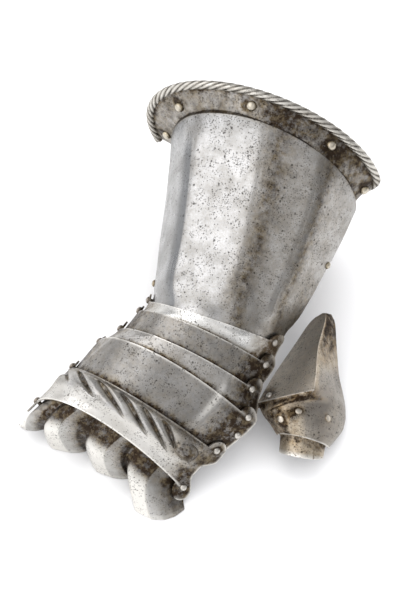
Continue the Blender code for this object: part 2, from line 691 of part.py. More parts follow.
def main():
    clear_scene()
    bright = steel("bright_steel", (0.62, 0.62, 0.61), 0.30)
    brown = steel("patinated_steel", (0.32, 0.27, 0.22), 0.45)
    brass = steel("rivet_brass", (0.60, 0.52, 0.36), 0.30)

    lames = [hand_plate(f"wrist_lame_{number}", number - 1, bright) for number in (1, 2, 3)]
    metacarpal = hand_plate("metacarpal_plate", METACARPAL, bright)
    chain = [cuff_plate(bright), *lames, metacarpal, knuckle_plate(bright), finger_plate(bright)]
    inner = cuff_inner_plate(brown)
    holes = {obj.name: [] for obj in chain + [inner]}
    riding = {obj.name: [obj] for obj in chain}
    riding["cuff_plate"].append(inner)

    # Each pair of pivots joins a plate to the one before it. The knuckle plate also holds the fingers.
    axes = []
    for station in range(KNUCKLE_END + 1):
        pair = [pivot(station, side) for side in (1, -1)]
        axes.append((pair[0][0] + pair[1][0]) / 2)
        outer = chain[min(station + 1, KNUCKLE_END)]
        under = chain[station] if station < KNUCKLE_END else chain[-1]
        deep = LAYER + PLATE + {0: WRIST_GAP, KNUCKLE_END: FINGER_GAP + HEAD_GAP}.get(station, 0)
        for place, side in zip(pair, ("thumb", "little")):
            made = rivet(f"pivot_{station + 1}_{side}", place, PIVOT_HEAD, deep, brass)
            riding[outer.name].append(made)
            holes[outer.name].append(place)
            holes[under.name].append(place)

    for number, angle in enumerate(BORDER_RIVETS, 1):
        place = lifted(cuff_face, BORDER_RIVET_STATION, angle, 0.0)
        holes["cuff_plate"].append(place)
        riding["cuff_plate"].append(rivet(f"border_rivet_{number}", place, BORDER_HEAD, PLATE, brass))
    for side, station, angle in SIDE_RIVETS:
        place = lifted(cuff_face, station, angle, 0.0)
        holes["cuff_plate"].append(place)
        holes["cuff_inner_plate"].append(place)
        made = rivet(f"cuff_side_rivet_{side}", place, PIVOT_HEAD, LAYER + PLATE, brass)
        riding["cuff_plate"].append(made)

    # The thumb plate and its end lame, and the strap that holds them to the metacarpal plate.
    thumb = thumb_plate(brown)
    end_lame = thumb_end_lame(brown)
    corner = thumb_place(*THUMB_PIVOT)
    seat = lifted(outer_face(METACARPAL), *STRAP_RIVET, 0.0)
    strap = thumb_strap(seat, corner, brown)
    deep = 2 * PLATE + STRAP_DROP
    riding["metacarpal_plate"] += [strap, rivet("strap_rivet", seat, PIVOT_HEAD, deep, brass)]
    holes["metacarpal_plate"].append(seat)
    on_thumb = [thumb, end_lame, rivet("thumb_pivot", corner, PIVOT_HEAD, deep, brass)]
    flush = [thumb_place(row, place) for row, place in THUMB_RIVETS]
    for number, place in enumerate(flush, 1):
        made = rivet(f"thumb_rivet_{number}", place, FLUSH_HEAD, THUMB_RIVET_DEEP, brown)
        on_thumb.append(made)

    drill(strap, [seat, corner])
    drill(thumb, [corner, *flush])
    drill(end_lame, flush)
    for name, places in holes.items():
        drill(bpy.data.objects[name], places)

    root = parent = joint_frame("gauntlet", Vector((0, 0, 0)), None, riding["cuff_plate"])
    for obj, middle in zip(chain[1:], axes):
        parent = joint_frame(obj.name + "_joint", middle, parent, riding[obj.name])
        if obj is metacarpal:
            joint_frame("thumb_joint", corner[0], parent, on_thumb)
    settle(root, chain + [inner, thumb, end_lame])


main()
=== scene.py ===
import math

import bpy
import numpy as np
from mathutils import Matrix, Vector


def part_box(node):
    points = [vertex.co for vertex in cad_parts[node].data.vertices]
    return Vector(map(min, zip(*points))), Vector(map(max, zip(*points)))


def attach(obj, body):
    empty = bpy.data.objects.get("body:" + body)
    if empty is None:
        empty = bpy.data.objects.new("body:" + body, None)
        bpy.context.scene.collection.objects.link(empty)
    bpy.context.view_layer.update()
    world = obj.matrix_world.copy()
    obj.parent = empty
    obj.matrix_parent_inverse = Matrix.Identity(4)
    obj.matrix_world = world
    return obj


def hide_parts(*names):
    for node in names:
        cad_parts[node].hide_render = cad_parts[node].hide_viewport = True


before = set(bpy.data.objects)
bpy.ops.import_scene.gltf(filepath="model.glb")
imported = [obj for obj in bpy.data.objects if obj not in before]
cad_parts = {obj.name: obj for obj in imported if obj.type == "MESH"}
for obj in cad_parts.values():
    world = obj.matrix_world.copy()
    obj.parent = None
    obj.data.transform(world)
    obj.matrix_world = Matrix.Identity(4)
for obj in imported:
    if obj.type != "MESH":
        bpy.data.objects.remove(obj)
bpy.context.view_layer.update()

MM = 0.001

# ------------------------ table, light and camera
# A matt white board under soft studio light: a large softbox overhead, a little behind the gauntlet,
# and a small one on the left. Nothing lights the right, so the thumb side stays in shade.
CAMERA_TURN, CAMERA_HEIGHT = math.radians(14.5), math.radians(60)
CAMERA_AWAY, CAMERA_LENS = 1.10, 100
CAMERA_AIM = Vector((-0.0062, 0.01288, 0.0402))
TABLE_SIZE = 8.0
ROOM_LOW, ROOM_HIGH = 0.66, 0.60    # how bright the room is in the steel, level with it and overhead
ROOM_ON_TABLE = 1.35                # and how bright it is to the table


def linear(colour):
    """A hex colour as the eye sees it, turned to the linear values a shader takes."""
    parts = [int(colour[k:k + 2], 16) / 255 for k in (1, 3, 5)]
    return (*[c / 12.92 if c <= 0.04045 else ((c + 0.055) / 1.055) ** 2.4 for c in parts], 1)


def add_node(tree, kind, *values, output=0, **named):
    """Adds one node and gives back one of its outputs. Its inputs take the values, or other nodes'
    outputs, in order or by name, and a name in small letters is a setting."""
    node = tree.nodes.new("ShaderNode" + kind)
    inputs = dict(enumerate(values))
    for name, value in named.items():
        if name.islower():
            setattr(node, name, value)
        else:
            inputs[int(name[1:]) if name[1:].isdigit() else name.replace("_", " ")] = value
    for name, value in inputs.items():
        if isinstance(value, bpy.types.NodeSocket):
            tree.links.new(value, node.inputs[name])
        else:
            node.inputs[name].default_value = value
    return node.outputs[output]


def aimed(name, direction, away):
    """Stands the light or camera just added so far away in a direction, facing the gauntlet."""
    thing = bpy.context.object
    thing.name = name
    thing.location = CAMERA_AIM + direction.normalized() * away
    thing.rotation_mode = "QUATERNION"
    thing.rotation_quaternion = direction.to_track_quat("Z", "Y")
    return thing


bpy.ops.object.select_all(action="DESELECT")
bpy.ops.mesh.primitive_plane_add(size=TABLE_SIZE, location=(0, 0, 0))
table = bpy.context.object
table.name = "table_top"
table_finish = bpy.data.materials.new("matt_white_board")     # painted board: white, with no shine
table_finish.use_nodes = True
table_shader = table_finish.node_tree.nodes["Principled BSDF"]
table_shader.inputs["Base Color"].default_value = linear("#f6f6f6")
table_shader.inputs["Roughness"].default_value = 0.9
table.data.materials.append(table_finish)

for name, direction, away, width, height, power in (
        ("overhead_softbox", (-0.15, 0.45, 0.87), 1.8, 1.6, 1.6, 13),
        ("left_softbox", (-0.80, -0.36, 0.45), 1.6, 0.8, 1.0, 5)):
    bpy.ops.object.light_add(type="AREA")
    light = aimed(name, Vector(direction), away)
    light.data.shape = "RECTANGLE"
    light.data.size, light.data.size_y = width, height
    light.data.energy = power
    light.visible_glossy = False

# What the steel mirrors: a pale room with a broad softbox high on the left, a weak one low in front,
# a dark corner low on the right and a faint light high over it.
MIRRORED = [
    # turn and height in degrees, half-width, softness, brightness
    (-106, 44, 24, 20, 1.75),
    (-170, 14, 22, 22, 0.70),
    (98, 5, 20, 24, -0.35),
    (118, 50, 16, 22, 0.50),
]
room = bpy.data.worlds.new("grey_studio")
bpy.context.scene.world = room
room.use_nodes = True
sky = room.node_tree
background = sky.nodes["Background"]
direction = add_node(sky, "TexCoord", output="Generated")
upwards = add_node(sky, "SeparateXYZ", direction, output="Z")
glow = add_node(sky, "MapRange", upwards, From_Min=-0.1, To_Min=ROOM_LOW, To_Max=ROOM_HIGH)
for turn, height, half_width, softness, brightness in MIRRORED:
    towards = Matrix.Rotation(-math.radians(turn), 3, "Z") @ Vector(
        (0, math.cos(math.radians(height)), math.sin(math.radians(height))))
    aim = add_node(sky, "VectorMath", direction, towards, operation="DOT_PRODUCT", output="Value")
    box = add_node(sky, "MapRange", aim, interpolation_type="SMOOTHSTEP",
                   From_Min=math.cos(math.radians(half_width + softness)),
                   From_Max=math.cos(math.radians(half_width)), To_Max=brightness)
    glow = add_node(sky, "Math", glow, box, operation="ADD")
in_steel = add_node(sky, "LightPath", output="Is Glossy Ray")
strength = add_node(sky, "Mix", in_steel, data_type="FLOAT", _2=ROOM_ON_TABLE, _3=glow)
sky.links.new(strength, background.inputs["Strength"])
background.inputs["Color"].default_value = linear("#fdfdff")
bpy.context.scene.view_settings.view_transform = "Standard"

bpy.ops.object.camera_add()
camera = aimed("camera", Vector((
    math.sin(CAMERA_TURN) * math.cos(CAMERA_HEIGHT),
    -math.cos(CAMERA_TURN) * math.cos(CAMERA_HEIGHT),
    math.sin(CAMERA_HEIGHT))), CAMERA_AWAY)
camera.data.lens = CAMERA_LENS
camera.data.sensor_width = 36
bpy.context.scene.camera = camera

# ------------------------ cuff plate
# One sheet of steel, raised into a bell with long flat facets, its border sunk and set off by a step.
# The whole gauntlet lies on one form that runs from the cuff's rim to the finger ends, laid here first.
PLATE = 1.2            # thickness of the plates, in mm as all sizes below
LAYER = 2.3            # from one plate's outer face down to the next
WRIST_GAP = 0.6        # how much deeper the cuff lies under the first lame
OVERLAP, SIDE_OVERLAP = 8.5, 6.0   # how far a plate runs on under the next, at the crown and at the sides
LOBE = 7.5             # radius of the ear round each pivot rivet
CUFF_RINGS = [
    # centre               half_width  rise  drop  lean  yaw  roll  tilt  tuck  cut
    ((17.5, 101.5, 73.0),  80.0,       69.5, 70.0, -6.5, -5,  0,    3,    0.24, -14),
    ((20.5,  88.5, 69.0),  66.5,       66.5, 58.0, -2,   -8,  0,    5,    0,    -10),
    ((20.5,  57.0, 60.0),  60.0,       60.0, 50.0,  0,   -5,  1,    8,    0,    -10),
    ((18.6,  25.0, 51.0),  54.0,       49.5, 42.0,  0,   -4,  3,    14,   0,    -10),
    ((16.5,   1.0, 35.0),  49.5,       57.0, 28.0,  0,   -6,  6,    20,   0,    4),
]
HAND_LINES = [
    # little end              crown                   thumb end              springs
    ((-34.1,  -5.5, 31.0),  ( 15.0,  -35.6, 84.0),  (60.2,  -22.7, 46.0),  12, 32),
    ((-38.0, -17.5, 34.0),  ( 11.0,  -42.6, 81.0),  (59.1,  -39.4, 43.0),  14, 36),
    ((-47.5, -32.1, 31.0),  (  5.1,  -57.1, 77.0),  (54.7,  -57.0, 39.0),  18, 40),
    ((-58.8, -43.6, 27.0),  ( -3.5,  -65.6, 74.0),  (55.9,  -75.6, 33.0),  22, 42),
    ((-72.6, -61.0, 20.0),  (-16.2,  -92.7, 66.0),  (39.7,  -97.5, 20.0),  25, 42),
    ((-89.4, -89.5, 14.0),  (-37.5, -107.2, 53.0),  (24.0, -122.5,  5.5),  30, 38),
    ((-101.0, -108.0, 6.0), (-52.0, -120.0, 30.0),  (13.0, -144.0, -5.0),  30, 38),
]
FORM_TO_FRAME = np.array([-6.2, 12.8785, 0.1967])   # the form's own origin, from the frame's
RIM, BORDER, NECK = -5, -4, -1         # stations of the rim, the step and the last ring; the wrist is 0
KNUCKLE, KNUCKLE_END, FINGER_ENDS = 4, 5, 6
RIDGES = np.array([(-60, -60), (-8, -8), (47, 36), (84, 65), (135, 123), (188, 188), (240, 240)], float)
FACET_DEPTH = 0.065
GROOVE_DEPTH, GROOVE_WIDTH = 0.020, 3.6    # of the groove filed along each ridge, in radii and degrees
BORDER_STEP = 1.4


def length(vectors):
    return np.linalg.norm(vectors, axis=-1)


def unit(vectors):
    return vectors / length(vectors)[..., None]


def turned_by(axis, degrees):
    return np.array(Matrix.Rotation(math.radians(degrees), 3, axis))


def ring_frame(centre, half_width, rise, drop, lean, yaw, roll, tilt, tuck, cut):
    turn = turned_by("Z", yaw) @ turned_by("Y", -roll) @ turned_by("X", tilt)
    across, up = turn @ (half_width, 0, 0), turn @ (lean, 0, rise)
    return [*centre, *across, *up, drop / rise, cut, cut, tuck]


def arch_frame(little, crown, thumb, spring_little, spring_thumb):
    little, crown, thumb = (np.array(point) for point in (little, crown, thumb))
    cos_l, sin_l = math.cos(math.radians(spring_little)), math.sin(math.radians(spring_little))
    cos_t, sin_t = math.cos(math.radians(spring_thumb)), math.sin(math.radians(spring_thumb))
    centre = cos_t * (little - crown * sin_l) + cos_l * (thumb - crown * sin_t)
    centre = centre / ((1 - sin_l) * cos_t + (1 - sin_t) * cos_l)
    across = (centre * (1 - sin_l) - little + crown * sin_l) / cos_l
    return [*centre, *across, *(crown - centre), 0.6, spring_little, spring_thumb, 0]


FRAMES = np.array([ring_frame(*row) for row in CUFF_RINGS] + [arch_frame(*row) for row in HAND_LINES])


def ease(low, high, value):
    part = np.clip((value - low) / (high - low), 0, 1)
    return part * part * (3 - 2 * part)


def smooth_between(here, after, leave, arrive, part):
    """The point part of the way along a smooth curve that leaves one point and arrives at the next."""
    square, cube = part ** 2, part ** 3
    return ((2 * cube - 3 * square + 1) * here + (cube - 2 * square + part) * leave
            + (3 * square - 2 * cube) * after + (cube - square) * arrive)


def frames_at(station):
    place = np.clip(station - RIM, 0, len(FRAMES) - 1.000001)
    first = place.astype(int)
    part = (place - first)[:, None]
    here, after = FRAMES[first], FRAMES[first + 1]
    before, beyond = FRAMES[np.maximum(first - 1, 1)], FRAMES[np.minimum(first + 2, len(FRAMES) - 1)]
    curved = smooth_between(here, after, (after - before) / 2, (beyond - here) / 2, part)
    return np.where((first == 0)[:, None], here + (after - here) * part, curved)


def facet(station, angle):
    """How far the cuff's facets lie in from the round, and its ridges out, as a share of the radius."""
    drift = np.clip((station - BORDER) / (NECK - BORDER), 0, 1) ** 2
    ridges = RIDGES[:, 0] + (RIDGES[:, 1] - RIDGES[:, 0]) * drift[:, None]
    back = ((angle[:, None] - ridges) % 360).min(1)
    ahead = ((ridges - angle[:, None]) % 360).min(1)
    part = back / np.maximum(back + ahead, 1e-9)
    groove = GROOVE_DEPTH * np.exp(-(np.minimum(back, ahead) / GROOVE_WIDTH) ** 2)
    start = 0.12 * ease(BORDER - 0.05, BORDER, station) + 0.88 * ease(BORDER, BORDER + 0.8, station)
    weight = start * (1 - ease(-0.9, -0.2, station))
    return weight * (FACET_DEPTH * (0.5 - np.sin(np.pi * part)) - groove)


def frame_point(rings, angle, out):
    turn = np.radians(angle)
    cos, sin = np.cos(turn), np.sin(turn)
    tuck = np.where(cos > 0, 1 - rings[:, 12] * ease(-0.15, 0.35, -sin), 1)
    across = rings[:, 3:6] * (cos * tuck)[:, None]
    up = rings[:, 6:9] * (sin * np.where(sin < 0, rings[:, 9], 1))[:, None]
    return rings[:, 0:3] + (across + up) * (1 + out)[:, None]


def ring_point(station, angle):
    station, angle = np.broadcast_arrays(np.atleast_1d(station).astype(float), angle)
    return frame_point(frames_at(station), angle, facet(station, angle))


def lifted(point, station, angle, lift, small=0.02):
    """Points of the form lifted along its normal, and the normals."""
    station, angle = np.broadcast_arrays(np.atleast_1d(station).astype(float), np.asarray(angle, float))
    along = point(station + small, angle) - point(station - small, angle)
    around = point(station, angle - small * 20) - point(station, angle + small * 20)
    normal = unit(np.cross(along, around))
    return point(station, angle) + normal * np.broadcast_to(lift, station.shape)[:, None], normal


def angle_at(station, place):
    """The angle of a place across a plate: -1 is its little-finger edge and 1 its thumb edge."""
    rings = frames_at(np.atleast_1d(station).astype(float))
    return 90 - place * (90 - np.where(np.asarray(place) > 0, rings[:, 11], rings[:, 10]))


def on_form(station, place, lift=0.0):
    return lifted(ring_point, station, angle_at(station, place), lift)[0]


def dip(station):
    """How far the layers have stepped down, counted from the cuff: one layer for each plate."""
    return LAYER * np.clip(station, -1, KNUCKLE)


def sunk(station):
    return (BORDER_STEP + FACET_DEPTH / 2 * CUFF_RINGS[1][1]) * np.clip(station - RIM, 0, 1)


def cuff_face(station, angle):
    """The outer face of the cuff plate."""
    border = -sunk(station) * (1 - ease(BORDER - 0.06, BORDER + 0.02, station))
    lift = border - LAYER - dip(station) - WRIST_GAP * ease(NECK, -0.3, station)
    return lifted(ring_point, station, angle, lift)[0]


def even(low, high, count):
    return np.linspace(low, high, count + 1)


MERGE = 0.01            # points closer than this are one point
DARKEST = 1.2           # a share of patina that leaves no bare steel between the stains
MOST = (DARKEST, 1, 2, 1)
EDGE_ROUND, EDGE_ANGLE = 0.28, 55      # how far edges sharper than so many degrees are rounded off


def flat_grid(name, columns, rows):
    """A flat grid that is still to be shaped, and which column and row each of its points is in."""
    bpy.ops.object.select_all(action="DESELECT")
    bpy.ops.mesh.primitive_grid_add(x_subdivisions=columns, y_subdivisions=rows, size=2, calc_uvs=False)
    grid = bpy.context.object
    grid.name = grid.data.name = name
    flat = np.zeros(len(grid.data.vertices) * 3)
    grid.data.vertices.foreach_get("co", flat)
    flat = (flat.reshape(-1, 3) + 1) / 2
    return grid, np.round(flat[:, 0] * columns).astype(int), np.round(flat[:, 1] * rows).astype(int)


def place_points(piece, points, shares):
    """Puts a piece's points in place, and marks each with its shares of brown patina and painted shade, of
    wear and painted highlight, of pitting and of grey film."""
    piece.data.vertices.foreach_set("co", (points * MM).astype(np.float32).ravel())
    marks = np.zeros((len(points), 4), np.float32)
    for number, share in enumerate(shares):
        marks[:, number] = np.clip(share, 0, MOST[number])
    colours = piece.data.color_attributes.new("marks", "FLOAT_COLOR", "POINT")
    colours.data.foreach_set("color", marks.ravel())


def stand_for(piece, body, slot, *nodes):
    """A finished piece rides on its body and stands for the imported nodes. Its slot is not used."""
    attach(piece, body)
    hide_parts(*nodes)
    return piece


def plate_sheet(name, body, slot, node, columns, rows, shape, finishes, marks=None):
    """A sheet of plate: a grid laid on the form by shape(), then given its thickness and softened edges.
    marks() gives each point its shares of patina and painted shade, wear and painted highlight, pitting and
    grey film."""
    piece, column, row = flat_grid(name, len(columns) - 1, len(rows) - 1)
    column, row = np.asarray(columns)[column], np.asarray(rows)[row]
    place_points(piece, shape(column, row) + FORM_TO_FRAME, marks(column, row) if marks else ())
    bpy.ops.object.mode_set(mode="EDIT")
    bpy.ops.mesh.select_all(action="SELECT")
    bpy.ops.mesh.remove_doubles(threshold=MERGE * MM)
    bpy.ops.mesh.flip_normals()
    bpy.ops.object.mode_set(mode="OBJECT")
    for finish in finishes:
        piece.data.materials.append(finish)
    wall = piece.modifiers.new("thickness", "SOLIDIFY")
    wall.thickness = PLATE * MM
    wall.offset = -1
    wall.material_offset = len(finishes) - 1
    bpy.ops.object.modifier_apply(modifier=wall.name)
    soft = piece.modifiers.new("edges", "BEVEL")
    soft.limit_method = "ANGLE"
    soft.angle_limit = math.radians(EDGE_ANGLE)
    soft.width = EDGE_ROUND * MM
    soft.segments = 2
    bpy.ops.object.modifier_apply(modifier=soft.name)
    bpy.ops.object.shade_smooth()
    return stand_for(piece, body, slot, node)


PATTERNS = [
    # size in mm, detail, roughness   read from, to   as a share from, to
    (16.667, 6, 0.65,                 0.36, 0.66,     0, 1),         # clouds of dull polish
    (0.9091, 3, 0.8,                  0.30, 0.70,     0, 1),         # grit, coarse enough to show
    (5.882, 7, 0.75,                  0.34, 0.66,     0.5, 1.25),    # mottle: stain comes in spots
    (4.167, 5, 0.7,                   0.30, 0.70,     -0.75, 0.25),  # where the stain is thick
    (13.333, 4, 0.6,                  0.42, 0.60,     0.12, 1.12),   # patches with many pits
]
PITS = [(1.1, 0.42, 1.5, 0.75), (2.7, 0.28, 0.5, 1.0)]   # mm apart, widest, how many, how dark
FEWEST_PITS = 0.12                          # the share of pits where none are marked
NARROWEST, PIT_FLOOR = 0.35, 0.55           # of a pit: as a share of the widest, and of its own width
RAGGED_SIZE, RAGGED_REACH = 0.6667, 1.1     # the pits' edges wander this far, in mm
HAMMER_SIZE, GRAIN_SIZE = 26.316, 1.923     # of the hammer marks and of the fine grain, in mm
HAMMER_DEPTH, GRAIN_DEPTH, PIT_DEPTH = 0.7, 0.18, 0.12
GREY_FILM, RUBBED_AND_LIT, PIT_BLACK = "#6e7072", "#ebe8e1", "#2a251f"


def worn_steel(name, bright, dull, stain, film, roughness, seed):
    """Hammered and polished steel, five centuries old: bright where it is handled and in painted
    highlights, with fine dark pits, cloudy grey films, brown rust stain in the creases and painted shade.
    The light breaks up into soft patches."""
    finish = bpy.data.materials.new(name)
    finish.use_nodes = True
    tree = finish.node_tree
    shader = tree.nodes["Principled BSDF"]
    place = add_node(tree, "TexCoord", output="Object")
    moved = add_node(tree, "Mapping", place, Location=(seed, seed * 1.7, -seed))
    marks = add_node(tree, "Attribute", attribute_name="marks", output="Color")
    patina, wear, pitting = add_node(tree, "SeparateColor", marks).node.outputs
    greyed = marks.node.outputs["Alpha"]

    shares = []
    for size, detail, rough, low, high, least, most in PATTERNS:
        noise = add_node(tree, "TexNoise", moved, Scale=1 / (size * MM), Detail=detail, Roughness=rough)
        shares.append(add_node(tree, "MapRange", noise, low, high, least, most,
                               interpolation_type="SMOOTHSTEP"))
    clouds, grit, mottle, thickness, patches = shares
    stains = add_node(tree, "Math", patina, mottle, operation="MULTIPLY", use_clamp=True)
    thick = add_node(tree, "Math", patina, thickness, operation="ADD", use_clamp=True)
    stain = add_node(tree, "Mix", thick, data_type="RGBA", _6=linear(film), _7=linear(stain), output=2)

    wander = add_node(tree, "TexNoise", moved, Scale=1 / (RAGGED_SIZE * MM), output="Color")
    ragged = add_node(tree, "VectorMath", wander, (RAGGED_REACH * MM,) * 3, moved, operation="MULTIPLY_ADD")
    pitted = add_node(tree, "Math", pitting, FEWEST_PITS, operation="ADD")
    pitted = add_node(tree, "Math", pitted, patches, operation="MULTIPLY")
    pits = 0.0
    for apart, widest, many, darkest in PITS:
        away = add_node(tree, "TexVoronoi", ragged, Scale=1 / (apart * MM))
        chance = add_node(tree, "SeparateColor", away.node.outputs["Color"]).node.outputs
        here = add_node(tree, "Math", pitted, many, operation="MULTIPLY")
        here = add_node(tree, "Math", chance[0], here, operation="LESS_THAN")
        width = add_node(tree, "Math", chance[1], widest, NARROWEST * widest, operation="MULTIPLY_ADD")
        pit = add_node(tree, "Math", away, width, operation="DIVIDE")
        pit = add_node(tree, "MapRange", pit, 1.0, PIT_FLOOR, 0.0, darkest,
                       interpolation_type="SMOOTHSTEP")
        pit = add_node(tree, "Math", pit, here, operation="MULTIPLY")
        pits = add_node(tree, "Math", pits, pit, operation="MAXIMUM")

    # layers of colour, each with the share it covers where it is strongest
    colour = linear(bright)
    for share, strongest, over in (
            (clouds, 1.0, linear(dull)), (grit, 0.30, linear(film)), (greyed, 0.85, linear(GREY_FILM)),
            (stains, 1.0, stain), (wear, 0.85, linear(RUBBED_AND_LIT)), (pits, 0.72, linear(PIT_BLACK))):
        share = add_node(tree, "Math", share, strongest, operation="MULTIPLY")
        colour = add_node(tree, "Mix", share, data_type="RGBA", _6=colour, _7=over, output=2)
    tree.links.new(colour, shader.inputs["Base Color"])
    shader.inputs["Metallic"].default_value = 1.0
    for share, more in ((clouds, 0.10), (stains, 0.18), (pits, 0.20)):
        roughness = add_node(tree, "Math", share, more, roughness, operation="MULTIPLY_ADD", use_clamp=True)
    tree.links.new(roughness, shader.inputs["Roughness"])

    hammer = add_node(tree, "TexNoise", moved, Scale=1 / (HAMMER_SIZE * MM), Detail=2, Roughness=0.4)
    grain = add_node(tree, "TexNoise", moved, Scale=1 / (GRAIN_SIZE * MM), Detail=4, Roughness=0.7)
    height = 0.0
    for pattern, rise in ((hammer, HAMMER_DEPTH), (grain, GRAIN_DEPTH), (pits, -PIT_DEPTH)):
        height = add_node(tree, "Math", pattern, rise * MM, height, operation="MULTIPLY_ADD")
    bump = add_node(tree, "Bump", Strength=1.0, Distance=1.0, Height=height)
    tree.links.new(bump, shader.inputs["Normal"])
    return finish


# The polished faces, silver grey with a soft shine; the inside, black from the forge and almost matt; and
# plates that were left brown, which look dull and warm.
bright_steel = worn_steel("polished_steel", "#b8b8b8", "#9a9997", "#352b22", "#80735c", 0.26, 0.0)
inner_steel = worn_steel("blackened_inner_steel", "#57514a", "#3d3832", "#2c241d", "#39312a", 0.55, 0.3)
border_steel = worn_steel("browned_steel", "#928a80", "#716960", "#41382f", "#655a4e", 0.36, 0.6)


def near(value, middle, width):
    return np.exp(-((value - middle) / width) ** 2)


# radius and width of the painted shade round each rivet, in mm
RING_SHADE_RADIUS, RING_SHADE_WIDTH = 3.4, 1.3


def ring_shade(points, *nodes):
    """A dark ring painted round each rivet: painted shade at the foot of its head."""
    ring = np.zeros(len(points))
    for node in nodes:
        middle = np.mean([tuple(corner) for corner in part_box(node)], axis=0) / MM
        away = length(points + FORM_TO_FRAME - middle)
        ring = np.maximum(ring, near(np.maximum(away, RING_SHADE_RADIUS), RING_SHADE_RADIUS, RING_SHADE_WIDTH))
    return ring


BORDER_RIVETS = [f"border_rivet_{number}" for number in range(1, 6)]


def cuff_marks(place, row):
    """Brown border and step, and bands along the facets that drift round as they run down to the wrist."""
    angle = angle_at(row, place)
    down = np.clip((row - BORDER) / (NECK - BORDER), 0, 1) ** 1.5
    border = 1 - ease(BORDER - 0.05, BORDER + 0.03, row)
    in_step = near(row, BORDER - 0.02, 0.04)
    left_edge = 134.5 - 15.5 * down + 6 * ease(-0.9, -0.1, row)
    left_band = ease(left_edge - 0.8, left_edge + 0.8, angle) * ease(left_edge + 14, left_edge + 3, angle)
    left_band = left_band * ease(BORDER + 0.3, BORDER + 0.7, row)
    brown_band = near(angle, 78.5 - 11 * down, 8.5)
    right_band = near(angle, 43 - 15 * down, 6)
    thumb_side = ease(84 - 12 * down, 72 - 12 * down, angle)
    lower = ease(30, -10, angle) * ease(-2.6, -1.2, row)
    wrist = 0.3 * ease(-0.5, -0.1, row) + 0.7 * ease(-0.6, -0.15, row) * ease(48, 24, angle)
    # painted shade on the border just under the roll of the rim
    shade_under_rope = near(row, RIM + 0.14, 0.10)
    patina = (0.62 * border + in_step + 0.66 * brown_band + 0.45 * right_band + 0.26 * thumb_side
              + 0.6 * lower + wrist + 0.4 * shade_under_rope + 0.7 * ring_shade(cuff_face(row, angle), *BORDER_RIVETS))
    greyed = 0.95 * left_band + 0.40 * ease(left_edge + 6, left_edge + 12, angle) + 0.4 * right_band
    greyed = greyed + 0.35 * ease(BORDER + 0.7, BORDER + 0.05, row)
    left_side = ease(left_edge - 1, left_edge, angle)
    pits = 0.45 + 0.6 * ease(-1.9, -3.7, row) + 0.3 * thumb_side - 0.35 * left_side
    return patina, 0, np.clip(pits, 0, 1), greyed * (1 - border)


def mm_along(station, place):
    ahead, back = on_form(station + 0.02, place), on_form(station - 0.02, place)
    return length(ahead - back) / 0.04


def mm_across(station, side):
    return length(on_form(station, side) - on_form(station, side * 0.99)) / 0.01


def overlap(station, place):
    """How far a plate runs on past a line, in stations: most at the crown."""
    reach = OVERLAP + (SIDE_OVERLAP - OVERLAP) * place ** 2
    return reach / mm_along(station, place)


def cuff_shape(place, row):
    station = np.where(row < NECK, row, NECK + (row - NECK) * (1 + overlap(0, place)))
    return cuff_face(station, angle_at(station, place))


cuff_rows = np.concatenate([
    even(RIM + 0.03, BORDER - 0.08, 12), even(BORDER - 0.07, BORDER + 0.03, 8),
    even(BORDER + 0.06, NECK, 60)[1:], even(NECK, 0, 14)[1:]])
plate_sheet("cuff_bell", "cuff", "bright_steel", "cuff_plate", even(-1, 1, 260), cuff_rows, cuff_shape,
            [bright_steel, inner_steel], cuff_marks)

# ------------------------ roped rim
# The edge of the cuff is rolled outwards over a wire, and filed with slanting grooves so that it looks
# like rope.
RIM_ROLL, ROLL_GAP = 3.0, 0.05     # radius of the roll, and how far the strands stay inside it
ROLL_ENDS = (-16, 196)             # degrees round the mouth of the cuff
ROPE_SIDES, ROPE_STEPS = 28, 1500
ROPE_PITCH = 6.3        # from one groove to the next, along the rim
ROPE_TURNS = 5          # how many grooves one groove crosses as it runs once round the roll
ROPE_GROOVE, STRAND_BLUNT = 0.75, 0.45
# filed steel: bright strands, with old oil and rust black in the grooves
rope_steel = worn_steel("filed_rope_steel", "#cfcbc2", "#a8a297", "#211b16", "#332a22", 0.30, 0.6)

angle = even(*ROLL_ENDS, ROPE_STEPS)
middle = ring_point(RIM, angle)
ahead = np.gradient(middle, axis=0)
tangent = unit(ahead)
travelled = np.concatenate([[0], np.cumsum(length(np.diff(middle, axis=0)))])
outward = middle - frames_at(np.full(len(angle), RIM))[:, 0:3]
outward = unit(outward - tangent * (outward * tangent).sum(1, keepdims=True))
forward = np.cross(tangent, outward)
rope, column, side = flat_grid("roped_rim", ROPE_STEPS, ROPE_SIDES)
turn = side / ROPE_SIDES * 2 * np.pi
phase = travelled[column] / ROPE_PITCH + ROPE_TURNS * side / ROPE_SIDES
strand = np.abs(np.sin(np.pi * phase)) ** STRAND_BLUNT
radius = RIM_ROLL - ROLL_GAP - ROPE_GROOVE * (1 - strand)
points = (middle[column] + FORM_TO_FRAME + outward[column] * (radius * np.cos(turn))[:, None]
          + forward[column] * (radius * np.sin(turn))[:, None])
place_points(rope, points, (np.clip(1.6 - strand * 1.7, 0.10, 1), np.clip(strand - 0.85, 0, 1) * 3.5, 0.2))
bpy.ops.object.mode_set(mode="EDIT")
bpy.ops.mesh.select_all(action="SELECT")
bpy.ops.mesh.remove_doubles(threshold=MERGE * MM)
bpy.ops.mesh.select_all(action="DESELECT")
bpy.ops.mesh.select_non_manifold()
bpy.ops.mesh.edge_face_add()
bpy.ops.mesh.select_all(action="SELECT")
bpy.ops.mesh.normals_make_consistent(inside=False)
bpy.ops.object.mode_set(mode="OBJECT")
rope.data.materials.append(rope_steel)
bpy.ops.object.shade_smooth()
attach(rope, "cuff")

# ------------------------ rivets
# Turned brass and iron rivets with domed heads, hammered over at the back: five round the border, one at
# each side where the two cuff plates meet, one in every ear, and three nearly flush ones in the thumb.
RIVET_SIDES, RIVET_RINGS = 28, 16
SHANK_INSET = 0.42      # in radii, from the head's edge in to the shank
PROBE = 6               # how far over a plate a rivet looks for its face
